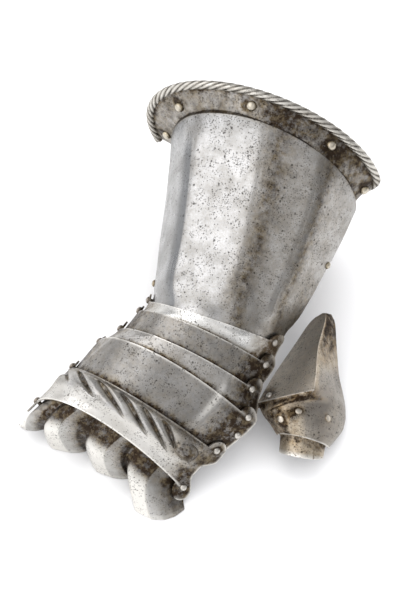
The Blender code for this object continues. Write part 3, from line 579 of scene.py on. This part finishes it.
# brass gone pale and dull yellow, and iron that is grey with a soft shine
rivet_brass = worn_steel("pale_rivet_brass", "#bdb39d", "#978a72", "#4b3f30", "#6f624e", 0.27, 0.9)
rivet_steel = worn_steel("rivet_iron", "#c2bfb8", "#a09b92", "#463a2f", "#6b6054", 0.28, 1.2)


def rivet_seat(node):
    """Where a packed rivet stands: the top of its head, the way it points, its radius and its reach."""
    points = np.array([vert.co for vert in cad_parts[node].data.vertices]) / MM
    middle = (points.min(0) + points.max(0)) / 2
    values, ways = np.linalg.eigh(np.cov((np.unique(np.round(points, 3), axis=0) - middle).T))
    way = ways[:, 2] if values[1] - values[0] < values[2] - values[1] else ways[:, 0]
    along = (points - middle) @ way
    radius = length(points - middle - along[:, None] * way)
    if along[np.argmax(radius)] < along.mean():
        way, along = -way, -along
    axis_point = points[radius > radius.max() - 0.05].mean(0)
    return axis_point + way * (along.max() - (axis_point - middle) @ way), way, radius.max(), np.ptp(along)


def face_under(plate, top, way, radius):
    """The point of a plate's outer face under a rivet's head, and the way the face looks there."""
    _, face, _, _ = plate.ray_cast(Vector(top + way * PROBE) * MM, Vector(-way))
    round_it = [part.normal for part in plate.data.polygons
                if (part.center - face).length < radius * MM and part.normal.dot(Vector(way)) > 0]
    return np.array(face) / MM, unit(np.mean(round_it, axis=0))


bpy.ops.object.select_all(action="DESELECT")
bpy.ops.mesh.primitive_uv_sphere_add(segments=RIVET_SIDES, ring_count=RIVET_RINGS, radius=1, calc_uvs=False)
model = bpy.context.object
bpy.ops.object.mode_set(mode="EDIT")
bpy.ops.mesh.select_all(action="SELECT")
bpy.ops.mesh.bisect(plane_co=(0, 0, 0), plane_no=(0, 0, 1), clear_inner=True, use_fill=True)
bpy.ops.mesh.select_all(action="DESELECT")
bpy.ops.object.mode_set(mode="OBJECT")
for polygon in model.data.polygons:
    polygon.select = polygon.normal.z < -0.9
bpy.ops.object.mode_set(mode="EDIT")
bpy.ops.mesh.inset(thickness=SHANK_INSET)
bpy.ops.mesh.extrude_region_move(TRANSFORM_OT_translate={"value": (0, 0, -1)})
bpy.ops.object.mode_set(mode="OBJECT")
rivet_model = model.data       # a head of radius and height 1, with a shank that ends 1 below it
bpy.data.objects.remove(model)


def rivet(node, body, slot, finish, height, plate=None):
    """A copy of the rivet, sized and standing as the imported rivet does, or on a plate's own face."""
    top, way, radius, reach = rivet_seat(node)
    if plate:
        inside = np.mean([tuple(vert.co) for vert in plate.data.vertices], axis=0) / MM
        if np.dot(way, top - inside) < 0:
            top, way = top - way * reach, -way
        face, way = face_under(plate, top, way, radius)
        top = face + way * height
    head = bpy.data.objects.new(node + "_head", rivet_model.copy())
    head.data.name = head.name
    bpy.context.collection.objects.link(head)
    bpy.ops.object.select_all(action="DESELECT")
    head.select_set(True)
    bpy.context.view_layer.objects.active = head
    points = np.array([vert.co for vert in head.data.vertices])
    shank = points[:, 2] < -0.5
    points[:, :2] *= radius
    points[:, 2] = np.where(shank, height - reach, points[:, 2] * height)
    up = points[:, 2] / height
    place_points(head, points, (np.where(up < 0.25, 0.7, 0.05), np.where(up > 0.6, 0.35, 0)))
    seat = Vector(top - way * height) * MM
    head.data.transform(Matrix.Translation(seat) @ Vector(way).to_track_quat("Z", "Y").to_matrix().to_4x4())
    head.data.materials.append(finish)
    bpy.ops.object.shade_smooth_by_angle(angle=math.radians(50))
    stand_for(head, body, slot, node)


BORDER_HEAD, PIVOT_HEAD, FLUSH_HEAD = 2.7, 2.0, 0.8    # height of each kind of head, with the gap under it
for node in BORDER_RIVETS:
    rivet(node, "cuff", "rivet_brass", rivet_brass, BORDER_HEAD)
for side, steel in (("thumb", rivet_steel), ("little", border_steel)):
    rivet(f"cuff_side_rivet_{side}", "cuff", "rivet_brass", rivet_brass, PIVOT_HEAD)
    for number, body in enumerate(("lame_1", "lame_2", "lame_3", "metacarpal", "knuckle", "knuckle"), 1):
        rivet(f"pivot_{number}_{side}", body, "rivet_brass", steel, PIVOT_HEAD)
rivet("strap_rivet", "metacarpal", "rivet_brass", rivet_steel, PIVOT_HEAD)
rivet("thumb_pivot", "thumb", "rivet_brass", rivet_steel, PIVOT_HEAD)

# ------------------------ inner plate of the cuff
# A plain second sheet of steel, nested inside the bell and riveted to it, that closes the cuff below.
# It flares outwards past the step in the bell, and its lower edge is trimmed flat where it stands.
INNER_RIM = ((19.0, 101.5, 71.0), 70.5, 69.0, 79.5, -2, -8, 0, 4, 0.24, 0)
INNER_EDGE_THUMB, INNER_EDGE_LITTLE = 8, 164
INNER_END_THUMB, INNER_END_LITTLE = -2.1, -0.8
FLARE_BLEND = 0.15      # the normal is read over so many stations, so that the flare's corner doesn't fold


def inner_point(station, angle):
    part = np.clip(BORDER - station, 0, None)
    rings = FRAMES[1] + (np.array(ring_frame(*INNER_RIM)) - FRAMES[1]) * part[:, None]
    flared = frame_point(rings, angle, facet(np.full(len(angle), BORDER), angle) * (1 - part))
    return np.where((station >= BORDER)[:, None], ring_point(station, angle), flared)


def inner_shape(part, along):
    angle = INNER_EDGE_THUMB - (360 + INNER_EDGE_THUMB - INNER_EDGE_LITTLE) * part
    end = INNER_END_THUMB + (INNER_END_LITTLE - INNER_END_THUMB) * ease(0, 1, part)
    station = RIM + (end - RIM) * along
    under_border = sunk(BORDER) * (1 - ease(BORDER, BORDER + 0.4, station))
    points = lifted(inner_point, station, angle, -LAYER - under_border, FLARE_BLEND)[0]
    points[:, 2] = np.maximum(points[:, 2], 0)
    return points


def inner_marks(part, along):
    edge = near(along, 0.98, 0.03) + near(along, 0, 0.02)
    return 0.45, 0.4 * np.clip(edge, 0, 1), 0.7


plate_sheet("cuff_under_plate", "cuff", "patinated_steel", "cuff_inner_plate",
            even(0, 1, 180), even(0, 1, 90), inner_shape, [border_steel, inner_steel], inner_marks)

# ------------------------ wrist lames and metacarpal plate
# Three narrow hoops of steel and the plate over the back of the hand, which slide over one another as
# the wrist bends. Each has an ear at both ends, held by a rivet on which it turns.
EAR_STEPS = 36
CREASE_HEIGHT = 0.7


def ear_reach(station, place):
    """How far the ears of a plate reach past the line of its pivots, in stations."""
    width = np.where(place > 0, mm_across(station, 1), mm_across(station, -1))
    from_edge = (1 - np.abs(place)) * width
    reach = np.sqrt(np.maximum(LOBE ** 2 - (from_edge - LOBE) ** 2, 0))
    return reach / mm_along(station, place)


def ear_columns(station, middle):
    """Places across a plate, close together in its ears and evenly spaced between them."""
    ears = LOBE * (1 - np.cos(np.radians(even(0, 180, EAR_STEPS))))
    left = -1 + ears / mm_across(station, -1)
    right = 1 - ears[::-1] / mm_across(station, 1)
    return np.concatenate([left, even(left[-1], right[0], middle)[1:-1], right])


def hand_plate(name, start, body, node, steel, brown, grey):
    """A plate from one line to just past the next, with an ear round each of its pivots. It has its own
    steel, and shares of brown patina and grey film."""
    rivets = [f"pivot_{start + 1}_{side}" for side in ("thumb", "little")] + ["strap_rivet"] * (start == 3)

    def station_at(place, part):
        first = start - ear_reach(start, place)
        return first + (start + 1 + overlap(start + 1, place) - first) * part

    def crease(station, angle):
        """The ridges of the cuff run on over the hand as soft creases."""
        return near(angle, 61, 2.2) + 0.7 * near(angle, 125 + 14 * (station - 3), 2.5)

    def shape(place, part):
        station = station_at(place, part)
        raised = CREASE_HEIGHT * crease(station, angle_at(station, place)) * start / 3
        raised = raised * ease(start + 1.0, start + 0.75, station)
        return on_form(station, place, start * LAYER - dip(station) + raised)

    def marks(place, part):
        station = station_at(place, part)
        angle = angle_at(station, place)
        flank = ease(62, 44, angle) + 0.8 * ease(126, 148, angle)
        rim = np.minimum((1 - np.abs(place)) * mm_across(start, 1), part * 12)
        rim = near(rim, 0, 1.1) * ease(0.86, 0.92, np.abs(place))
        # painted shade on each plate just before the line where the next plate's edge lies over it
        under = near(station, start + 1.0, 0.12)
        # a painted highlight along the crease over the hand plate, given as bright steel in the wear share
        crease_highlight = near(angle, 62.5, 1.6) * near(station, 3.25, 0.5)
        corroded = near(angle, 101, 4) * near(station, 3.62, 0.13)
        patina = brown + 1.1 * flank + 0.9 * under + 0.8 * near(angle, 54, 5) * brown
        patina = patina + ring_shade(on_form(station, place), *rivets)
        wear = 0.9 * near(station, start, 0.04) * (1 - 0.7 * flank) + 0.75 * rim + 0.7 * crease_highlight
        pits = 0.4 + 0.9 * brown + 2 * corroded
        return patina * (1 - 0.7 * crease_highlight - 0.5 * rim), wear, pits, grey * (1 - flank - crease_highlight)

    plate_sheet(name, body, "bright_steel", node, ear_columns(start, 150), even(0, 1, 56), shape,
                [steel, inner_steel], marks)


# the first hoop is painted brightest of all: a painted highlight for the light its flared face catches
lit_hoop_steel = worn_steel("painted_lit_hoop_steel", "#e4e4e2", "#c9c8c5", "#5c4f41", "#857a66", 0.24, 2.1)
for start, name, body, node, steel, brown, grey in (
        (0, "wrist_hoop_1", "lame_1", "wrist_lame_1", lit_hoop_steel, 0, 0),
        (1, "wrist_hoop_2", "lame_2", "wrist_lame_2", bright_steel, 0.38, 0.5),
        (2, "wrist_hoop_3", "lame_3", "wrist_lame_3", bright_steel, 0.22, 0),
        (3, "hand_back_plate", "metacarpal", "metacarpal_plate", bright_steel, 0.28, 0.5)):
    hand_plate(name, start, body, node, steel, brown, grey)

# ------------------------ knuckle plate
# The steel plate over the knuckles, raised into a roll that is filed with slanting gouges like twisted
# rope. It is riveted by ears at both ends: back over the hand plate, and forward over the finger plate.
GOUGES = [
    # start: station, place   end: station, place
    (4.10, -0.86,             4.44, -0.56),
    (4.08, -0.60,             4.52, -0.22),
    (4.08, -0.33,             4.58,  0.10),
    (4.08, -0.11,             4.62,  0.37),
    (4.08,  0.11,             4.62,  0.58),
    (4.08,  0.34,             4.46,  0.62),
]
GOUGE_DEPTH, GOUGE_WIDTH = 2.4, 0.040
FLOOR_OVER_HAND, FLOOR_BEYOND = 0.3, -0.7      # of the gouges: higher where the hand plate slides under it
FLOOR_SINKS = (4.36, 4.50)
STRAND_DEPTH, STRAND_WIDTH = 1.7, 0.10     # the strands between the gouges are rounded off down to them
ROLL_HEIGHT, ROLL_TOP, ROLL_BACK, ROLL_FRONT = 3.4, 4.32, 0.29, 0.5
BOSS_HEIGHT, BOSS_PLACE, BOSS_STATION = 3.8, 0.69, 4.34    # of the round boss at the thumb end of the roll
BOSS_WIDTH, BOSS_LENGTH = 0.11, 0.20
WAIST_DEPTH, WAIST_START, WAIST_END, WAIST_EASE = 8.0, 4.14, 4.98, 0.32
KNUCKLE_RIVETS = ["pivot_5_thumb", "pivot_5_little", "pivot_6_thumb", "pivot_6_little"]


def waisted(station, place):
    """A place drawn in towards the crown between the ears, where the knuckle plate has its waist."""
    opening = ease(WAIST_START, WAIST_START + WAIST_EASE, station)
    closing = ease(WAIST_END, WAIST_END - WAIST_EASE, station)
    ends = np.where(np.asarray(place) > 0, 1.0, -1.0)
    drawn = WAIST_DEPTH / mm_across(station, ends) * opening * closing
    return place - ends * drawn * ease(0.6, 1, np.abs(place))


def knuckle_lift(station, place):
    """How far the roll with its boss and gouges stands up from the form, and how deep a gouge is there."""
    across = 1 - ease(0.72, 0.9, np.abs(place + 0.02))
    behind = np.maximum(1 - ((ROLL_TOP - station) / ROLL_BACK) ** 4, 0)
    before = ease(ROLL_TOP + ROLL_FRONT, ROLL_TOP, station)
    roll = ROLL_HEIGHT * across * np.where(station < ROLL_TOP, behind, before)
    from_boss = ((place - BOSS_PLACE) / BOSS_WIDTH) ** 2 + ((station - BOSS_STATION) / BOSS_LENGTH) ** 2
    boss = np.maximum(1 - from_boss, 0) ** 0.7
    cut, between = 0 * station, 0 * station
    for first_station, first_place, last_station, last_place in GOUGES:
        along = np.clip((station - first_station) / (last_station - first_station), 0, 1)
        middle = first_place + (last_place - first_place) * along
        leaf = np.sin(np.pi * along ** 0.6) ** 0.6
        cut = np.maximum(cut, leaf * near(place, middle, GOUGE_WIDTH * (0.4 + 0.6 * leaf)))
        between = np.maximum(between, leaf * near(place, middle, STRAND_WIDTH * leaf + 0.001))
    lift = roll + BOSS_HEIGHT * boss
    carved = lift - STRAND_DEPTH * between - GOUGE_DEPTH * cut
    floor = FLOOR_OVER_HAND + (FLOOR_BEYOND - FLOOR_OVER_HAND) * ease(*FLOOR_SINKS, station)
    return np.maximum(carved, np.minimum(lift, floor)), cut


def knuckle_station(place, part):
    first = KNUCKLE - ear_reach(KNUCKLE, place)
    return first + (KNUCKLE_END + ear_reach(KNUCKLE_END, place) - first) * part


def knuckle_shape(place, part):
    station = knuckle_station(place, part)
    place = waisted(station, place)
    return on_form(station, place, knuckle_lift(station, place)[0])


def knuckle_marks(place, part):
    station = knuckle_station(place, part)
    from_edge = (1 - np.abs(place)) * mm_across(4.5, 1)
    from_end = np.minimum(part, 1 - part) * 45
    ears = ease(0.90, 0.94, np.abs(place))
    place = waisted(station, place)
    angle = angle_at(station, place)
    cut = knuckle_lift(station, place)[1]
    flank = ease(56, 40, angle) * (1 - 0.6 * near(station, 5.0, 0.25)) + 0.8 * ease(128, 148, angle)
    rim = near(np.minimum(from_edge, from_end), 0, 1.1) * ears
    round_boss = near(place, BOSS_PLACE, 0.15) * near(station, BOSS_STATION, 0.24)
    thumb_corner = ease(0.66, 0.84, place) * ease(4.45, 4.7, station)
    patina = (0.12 + flank + 1.1 * cut + 0.95 * round_boss + 0.5 * near(station, 4.05, 0.07)
              + 0.55 * thumb_corner + ring_shade(on_form(station, place), *KNUCKLE_RIVETS))
    # painted highlight on the roll's front slope and along the gouges' edges, given as bare steel in the
    # wear share
    lit_slope = ease(4.45, 4.6, station) + near(cut, 0.2, 0.15) * near(station, 4.3, 0.2)
    edge = near(station, 4.99, 0.022) * (1 - ears)
    bare = lit_slope * (1 - cut) * (1 - flank) * (1 - round_boss) * (1 - thumb_corner)
    wear = 0.9 * edge + 0.45 * bare + 0.7 * rim
    return patina * (1 - 0.5 * rim), wear, 0.65


plate_sheet("knuckle_cover", "knuckle", "bright_steel", "knuckle_plate", ear_columns(KNUCKLE, 310),
            even(0, 1, 110), knuckle_shape, [bright_steel, inner_steel], knuckle_marks)

# ------------------------ finger plate
# One steel plate over all four fingers, hammered into four shapes with flat tops and deep valleys
# between. It turns on the rivets in the front ears of the knuckle plate.
FINGER_START, FINGER_BEND, FINGER_FLOOR, FINGER_GAP = 4.72, 0.52, 0.8, 0.8
FINGER_COLUMNS = np.array([
    # place, sunk, x, y of the open edge
    (-1.00, 0.0,  -95.0,  -95.5),   # little finger
    (-0.94, 0.0,  -98.0,  -99.5),
    (-0.87, 0.2,  -95.8, -101.2),
    (-0.75, 0.0,  -91.5, -102.4),
    (-0.66, 2.6,  -85.4, -101.6),
    (-0.55, 5.2,  -77.2,  -97.4),   # valley
    (-0.46, 3.0,  -75.0, -108.0),   # ring finger
    (-0.41, 1.6,  -71.0, -110.9),
    (-0.21, 0.0,  -58.5, -110.8),
    (-0.14, 1.5,  -53.5, -109.4),
    (-0.07, 3.4,  -49.5, -107.5),
    ( 0.00, 5.2,  -46.7, -103.8),   # valley
    ( 0.08, 3.0,  -43.4, -114.5),   # middle finger
    ( 0.13, 1.6,  -38.3, -119.6),
    ( 0.27, 0.0,  -27.0, -121.0),
    ( 0.33, 1.6,  -21.0, -120.3),
    ( 0.38, 3.2,  -15.6, -118.8),
    ( 0.42, 5.2,  -13.2, -114.6),   # valley
    ( 0.49, 3.0,  -11.4, -130.7),   # index finger
    ( 0.54, 1.7,   -7.0, -139.5),
    ( 0.68, 0.0,    5.0, -142.6),
    ( 0.76, 0.5,   13.0, -140.8),
    ( 0.83, 0.5,   19.0, -136.5),
    ( 0.92, 0.2,   23.6, -130.5),
    ( 1.00, 0.0,   21.8, -126.5),
])
VALLEYS, CRESTS = np.array([5, 11, 17]), np.array([3, 8, 14, 20])      # rows of the table
COLUMN_STEPS, CORNER_WIDTH = 12, 0.17      # points from row to row, and how far corners are rounded off
CREST_RISE, DEEPEST = 5.5, 5.2     # how far the bend of a crest stands up from the valleys' beds
RISE_FADES = (0.98, 0.72)          # places across between which it fades out, under the ears
BEND_TIGHTNESS = 0.84   # 2/3 is a round bend, and 1 a sharp corner


def softened(table, steps, width):
    """A table's rows read closely, as straight runs whose corners are rounded off."""
    places = even(0, len(table) - 1, (len(table) - 1) * steps)
    straight = np.stack([np.interp(places, np.arange(len(table)), row) for row in table.T], 1)
    reach = max(int(width * steps), 1)
    weights = np.hanning(2 * reach + 3)[1:-1]
    weights /= weights.sum()
    before = 2 * straight[:1] - straight[reach:0:-1]
    beyond = 2 * straight[-1:] - straight[-2:-reach - 2:-1]
    padded = np.concatenate([before, straight, beyond])
    return np.stack([np.convolve(row, weights, "valid") for row in padded.T], 1)


finger_table = softened(FINGER_COLUMNS, COLUMN_STEPS, CORNER_WIDTH)


def finger_shape(column, row):
    place, sunk_by, x, y = finger_table[np.round(column).astype(int)].T
    on_hand = np.minimum(row, KNUCKLE_END)
    sink = sunk_by * ease(FINGER_START, KNUCKLE_END, on_hand)
    start = on_form(on_hand, waisted(on_hand, place), -LAYER - FINGER_GAP - sink)
    part = np.clip(row - KNUCKLE_END, 0, 1)[:, None]
    end = np.stack([x, y, np.full(len(x), FINGER_FLOOR)], 1)
    ahead = unit(on_form(KNUCKLE_END + 0.05, place) - on_form(KNUCKLE_END - 0.05, place))
    middle = start + ahead * (length(end - start) * FINGER_BEND)[:, None]
    middle[:, 2] += CREST_RISE * (1 - sunk_by / DEEPEST) * ease(*RISE_FADES, np.abs(place))
    leave, arrive = start + (middle - start) * BEND_TIGHTNESS, end + (middle - end) * BEND_TIGHTNESS
    rest = 1 - part
    return (rest ** 3 * start + 3 * rest ** 2 * part * leave
            + 3 * rest * part ** 2 * arrive + part ** 3 * end)


def finger_marks(column, row):
    column = column / COLUMN_STEPS
    valley = near(np.abs(column[:, None] - VALLEYS).min(1), 0, 0.8)
    past = column[:, None] - CRESTS
    before = np.where(past < 0, -past, 99).min(1)
    after = np.where(past >= 0, past, 99).min(1)
    # painted shade down the right side of each finger, as darker brown and grey
    shaded_side = ease(0.0, 2.6, after)
    behind = ease(5.50, 5.15, row)
    # painted highlight: the top facet of each finger is painted bright, and the lower part outside the
    # painted shade a little lighter; the lip at the open edge is rubbed steel
    lit_facet = ease(0.0, 0.15, before) * ease(2.45, 2.05, before) * ease(5.25, 5.60, row)
    lip = ease(5.93, 5.97, row)
    patina = 1.15 * valley + 0.8 * shaded_side + 0.5 * behind + 0.3 * ease(22, 24, column)
    wear = 0.95 * lit_facet + 0.2 * ease(5.3, 5.6, row) * (1 - shaded_side) + 0.3 * lip
    greyed = 0.4 * shaded_side + 0.4 * behind * (1 - valley)
    return patina * (1 - lit_facet), wear * (1 - valley), 0.55, greyed


finger_rows = np.concatenate([even(FINGER_START, KNUCKLE_END, 12), even(KNUCKLE_END, FINGER_ENDS, 60)[1:]])
plate_sheet("finger_cover", "fingers", "bright_steel", "finger_plate", np.arange(len(finger_table)),
            finger_rows, finger_shape, [bright_steel, inner_steel], finger_marks)

# ------------------------ thumb
# A gabled steel plate over the thumb with a crisp ridge, a short end lame nested under it, and a twisted
# strap that carries both from the hand plate. All of it is brown with old varnish.
THUMB_ROWS = [
    # hand-side edge          ridge                    outer edge                swell
    (( 80.0,  14.0, 34.0),  ( 82.6,  12.9, 37.0),  ( 85.9,  15.0, 33.0),  0.2),
    (( 73.2,   9.8, 26.0),  ( 83.3,   3.0, 41.0),  ( 89.7,  10.2, 30.0),  0.6),
    (( 65.8,  -8.2, 20.0),  ( 83.4, -18.2, 46.0),  ( 94.1,  -3.2, 24.0),  1.4),
    (( 58.1, -32.3, 20.0),  ( 86.2, -37.8, 49.0),  ( 99.6, -18.9, 16.0),  2.0),
    (( 53.2, -57.3, 26.0),  ( 87.8, -51.1, 50.0),  (104.7, -28.7, 11.0),  3.0),
    (( 58.6, -62.7, 21.0),  ( 82.6, -57.1, 39.0),  (108.9, -39.5,  9.0),  5.0),
    (( 63.8, -65.6, 17.0),  ( 84.4, -67.8, 38.0),  (110.4, -52.8,  8.0),  6.0),
    (( 69.8, -70.6, 13.0),  ( 87.6, -74.4, 27.0),  (104.0, -70.0, 10.0),  4.5),
]
THUMB_END = (( 73.7, -81.3, 12.0),  ( 90.1, -86.1, 22.0),  (102.1, -78.3, 12.0),  2.5)
THUMB_NEST, NEST_SCALE, THUMB_WIDEST = 5.15, 0.87, 110.4
HOLLOW_DEPTH = 0.9
THUMB_FOLD = 4           # the row of the ridge that runs across
# steel under old varnish, which gives it a warm brown tint
thumb_steel = worn_steel("varnished_thumb_steel", "#cfc6b6", "#aca294", "#33271c", "#978263", 0.31, 1.5)


def thumb_lines(rows):
    return np.array([[*hand, *ridge, *outer, swell] for hand, ridge, outer, swell in rows], float)


def curve_through(table, row):
    """A smooth curve through a table's rows, read at each row number."""
    last = len(table) - 1
    first = np.clip(row.astype(int), 0, last - 1)
    part = (row - first)[:, None]
    here, after = table[first], table[first + 1]
    leave = (after - table[np.maximum(first - 1, 0)]) / np.where(first > 0, 2, 1)[:, None]
    arrive = (table[np.minimum(first + 2, last)] - here) / np.where(first < last - 1, 2, 1)[:, None]
    return smooth_between(here, after, leave, arrive, part)


thumb_table = thumb_lines(THUMB_ROWS)


def gable(lines, place, rounded):
    """Points across a row of lines: -1 is the hand side, 0 the ridge and 1 the outer side. The row is
    a gable with swelling sides, or where it is rounded an arch."""
    hand, ridge, outer, swell = lines[:, 0:3], lines[:, 3:6], lines[:, 6:9], lines[:, 9:10]
    middle = (hand + outer) / 2
    up = unit(ridge - middle)
    side = np.abs(place)[:, None]
    edge = np.where((place > 0)[:, None], outer, hand)
    sharp = ridge + (edge - ridge) * side + up * swell * (1 - (2 * side - 1) ** 2)
    turn = np.radians(90 * place)[:, None]
    arch = middle + (outer - hand) / 2 * np.sin(turn) + (ridge - middle) * np.cos(turn)
    return sharp + (arch - sharp) * np.broadcast_to(rounded, place.shape)[:, None]


def hollow_line(row, place):
    """The creased bottom of the hollow between the fold and the bulge over the thumb's joint."""
    middle = 4.62 + 0.9 * np.minimum(place, 0) ** 2 + 0.3 * np.maximum(place, 0) ** 2
    return near(row, middle, 0.13) * ease(-0.75, -0.5, place) * ease(0.5, 0.15, place)


def thumb_point(row, place):
    whole = curve_through(thumb_table, row)
    before = curve_through(thumb_table[:THUMB_FOLD + 1], np.minimum(row, THUMB_FOLD))
    after = curve_through(thumb_table[THUMB_FOLD:], np.maximum(row - THUMB_FOLD, 0))
    folded = np.where((row <= THUMB_FOLD)[:, None], before, after)
    share = ease(0.05, 0.5, place)[:, None]
    point = gable(folded + (whole - folded) * share, place, ease(4.1, 5.2, row))
    point[:, 2] -= HOLLOW_DEPTH * hollow_line(row, place)
    point[:, 0] = np.minimum(point[:, 0], THUMB_WIDEST)
    return point


THUMB_RIVETS = [f"thumb_rivet_{number}" for number in range(1, 4)]


def thumb_marks(place, row):
    ridge = near(place, 0, 0.014) * ease(4.3, 4.0, row)
    fold = near(row, THUMB_FOLD, 0.03) * ease(0.02, -0.02, place)
    edge = ease(6.90, 7.0, row)
    hand_face = ease(0.0, -0.05, place) * ease(4.05, 3.95, row)
    outer_face = ease(0.02, 0.2, place)
    tip = ease(2.9, 1.2, row)
    hollow = near(row, 4.35, 0.35) * ease(0.4, 0.0, place) + 1.2 * hollow_line(row, place)
    corner = near(row, 3.7, 0.35) * near(place, -0.9, 0.16)
    on_bulge = ease(4.7, 5.1, row)
    gold = on_bulge * ease(-0.25, -0.4, place)
    brown_patch = near(row, 5.75, 0.5) * near(place, -0.17, 0.10)
    bare = outer_face * ease(2.2, 3.2, row) * (1 - on_bulge) + on_bulge * ease(-0.12, 0.1, place)
    patina = (0.42 + 0.12 * hand_face + 0.85 * outer_face * tip + 0.7 * hollow + 0.4 * ease(0.8, 0, row)
              + 0.55 * gold + 0.9 * brown_patch + 0.6 * corner - 0.25 * bare)
    patina = patina + ring_shade(thumb_point(row, place), *THUMB_RIVETS)
    wear = 0.45 * ridge + 0.5 * fold + 0.8 * edge + 0.42 * hand_face * (1 - corner)
    return patina, wear, 0.7, 0.8 * bare + 0.3 * outer_face * tip


thumb_rows = np.concatenate([even(0, 3.9, 90), even(3.92, 4.08, 8), even(4.12, 7, 70)])
thumb_places = np.concatenate([even(-1, -0.05, 48), even(-0.04, 0.04, 8), even(0.05, 1, 48)])
thumb = plate_sheet("thumb_cover", "thumb", "patinated_steel", "thumb_plate", thumb_places, thumb_rows,
                    lambda place, row: thumb_point(row, place), [thumb_steel, inner_steel], thumb_marks)


def end_lame_shape(place, row):
    over = np.minimum(row, len(THUMB_ROWS) - 1)
    middle = (thumb_point(over, -np.ones(len(row))) + thumb_point(over, np.ones(len(row)))) / 2
    nested = middle + (thumb_point(over, place) - middle) * NEST_SCALE
    ends = np.broadcast_to(thumb_lines([THUMB_END]), (len(row), 10))
    return nested + (gable(ends, place, 1.0) - nested) * (row - over)[:, None]


def end_lame_marks(place, row):
    notch = near(place, 0.32, 0.018) * ease(7.35, 7.5, row)
    patina = 0.45 + 0.4 * ease(7.6, 7.2, row) + notch
    return np.clip(patina, 0, 1), ease(7.7, 8.0, row) * (1 - notch), 0.7


plate_sheet("thumb_end_cover", "thumb", "patinated_steel", "thumb_end_lame", even(-1, 1, 100),
            even(THUMB_NEST, 8, 60), end_lame_shape, [thumb_steel, inner_steel], end_lame_marks)

for node in THUMB_RIVETS:
    rivet(node, "thumb", "patinated_steel", thumb_steel, FLUSH_HEAD, thumb)

STRAP_LEAVES_HAND = (0.60, 0.65, 0.45)
STRAP_LEAVES_THUMB = (-0.81, -0.32, -0.49)
STRAP_MIDDLE = ((50.0, -77.5, 25.5), (47.0, -67.5, 20.5), (49.5, -57.5, 18.5))
STRAP_WIDTH, STRAP_END, STRAP_DROP = 2.8, 3.0, 2.4   # half its width, its run past a rivet, the gap over it


def strap_end(node, leaving):
    """The strap round a rivet, from its end inwards: three points, and the half width across it."""
    top, normal, _, _ = rivet_seat(node)
    seat = top - FORM_TO_FRAME - normal * (PIVOT_HEAD + PLATE + STRAP_DROP)
    line = unit(np.array(leaving) - normal * np.dot(leaving, normal))
    side = np.cross(normal, line) * STRAP_WIDTH
    return [seat + line * along for along in (-STRAP_END, 0, STRAP_END)], side


def strap_shape(across, row):
    start, side = strap_end("strap_rivet", STRAP_LEAVES_HAND)
    finish, far_side = strap_end("thumb_pivot", STRAP_LEAVES_THUMB)
    centres = np.array([*start, *STRAP_MIDDLE, *finish[::-1]])
    twist = ease(2, 6, row)[:, None]
    return curve_through(centres, row) + (side - (far_side + side) * twist) * across[:, None]


plate_sheet("thumb_hinge_strap", "metacarpal", "patinated_steel", "thumb_strap",
            even(-1, 1, 12), even(0, 8, 96), strap_shape, [border_steel])
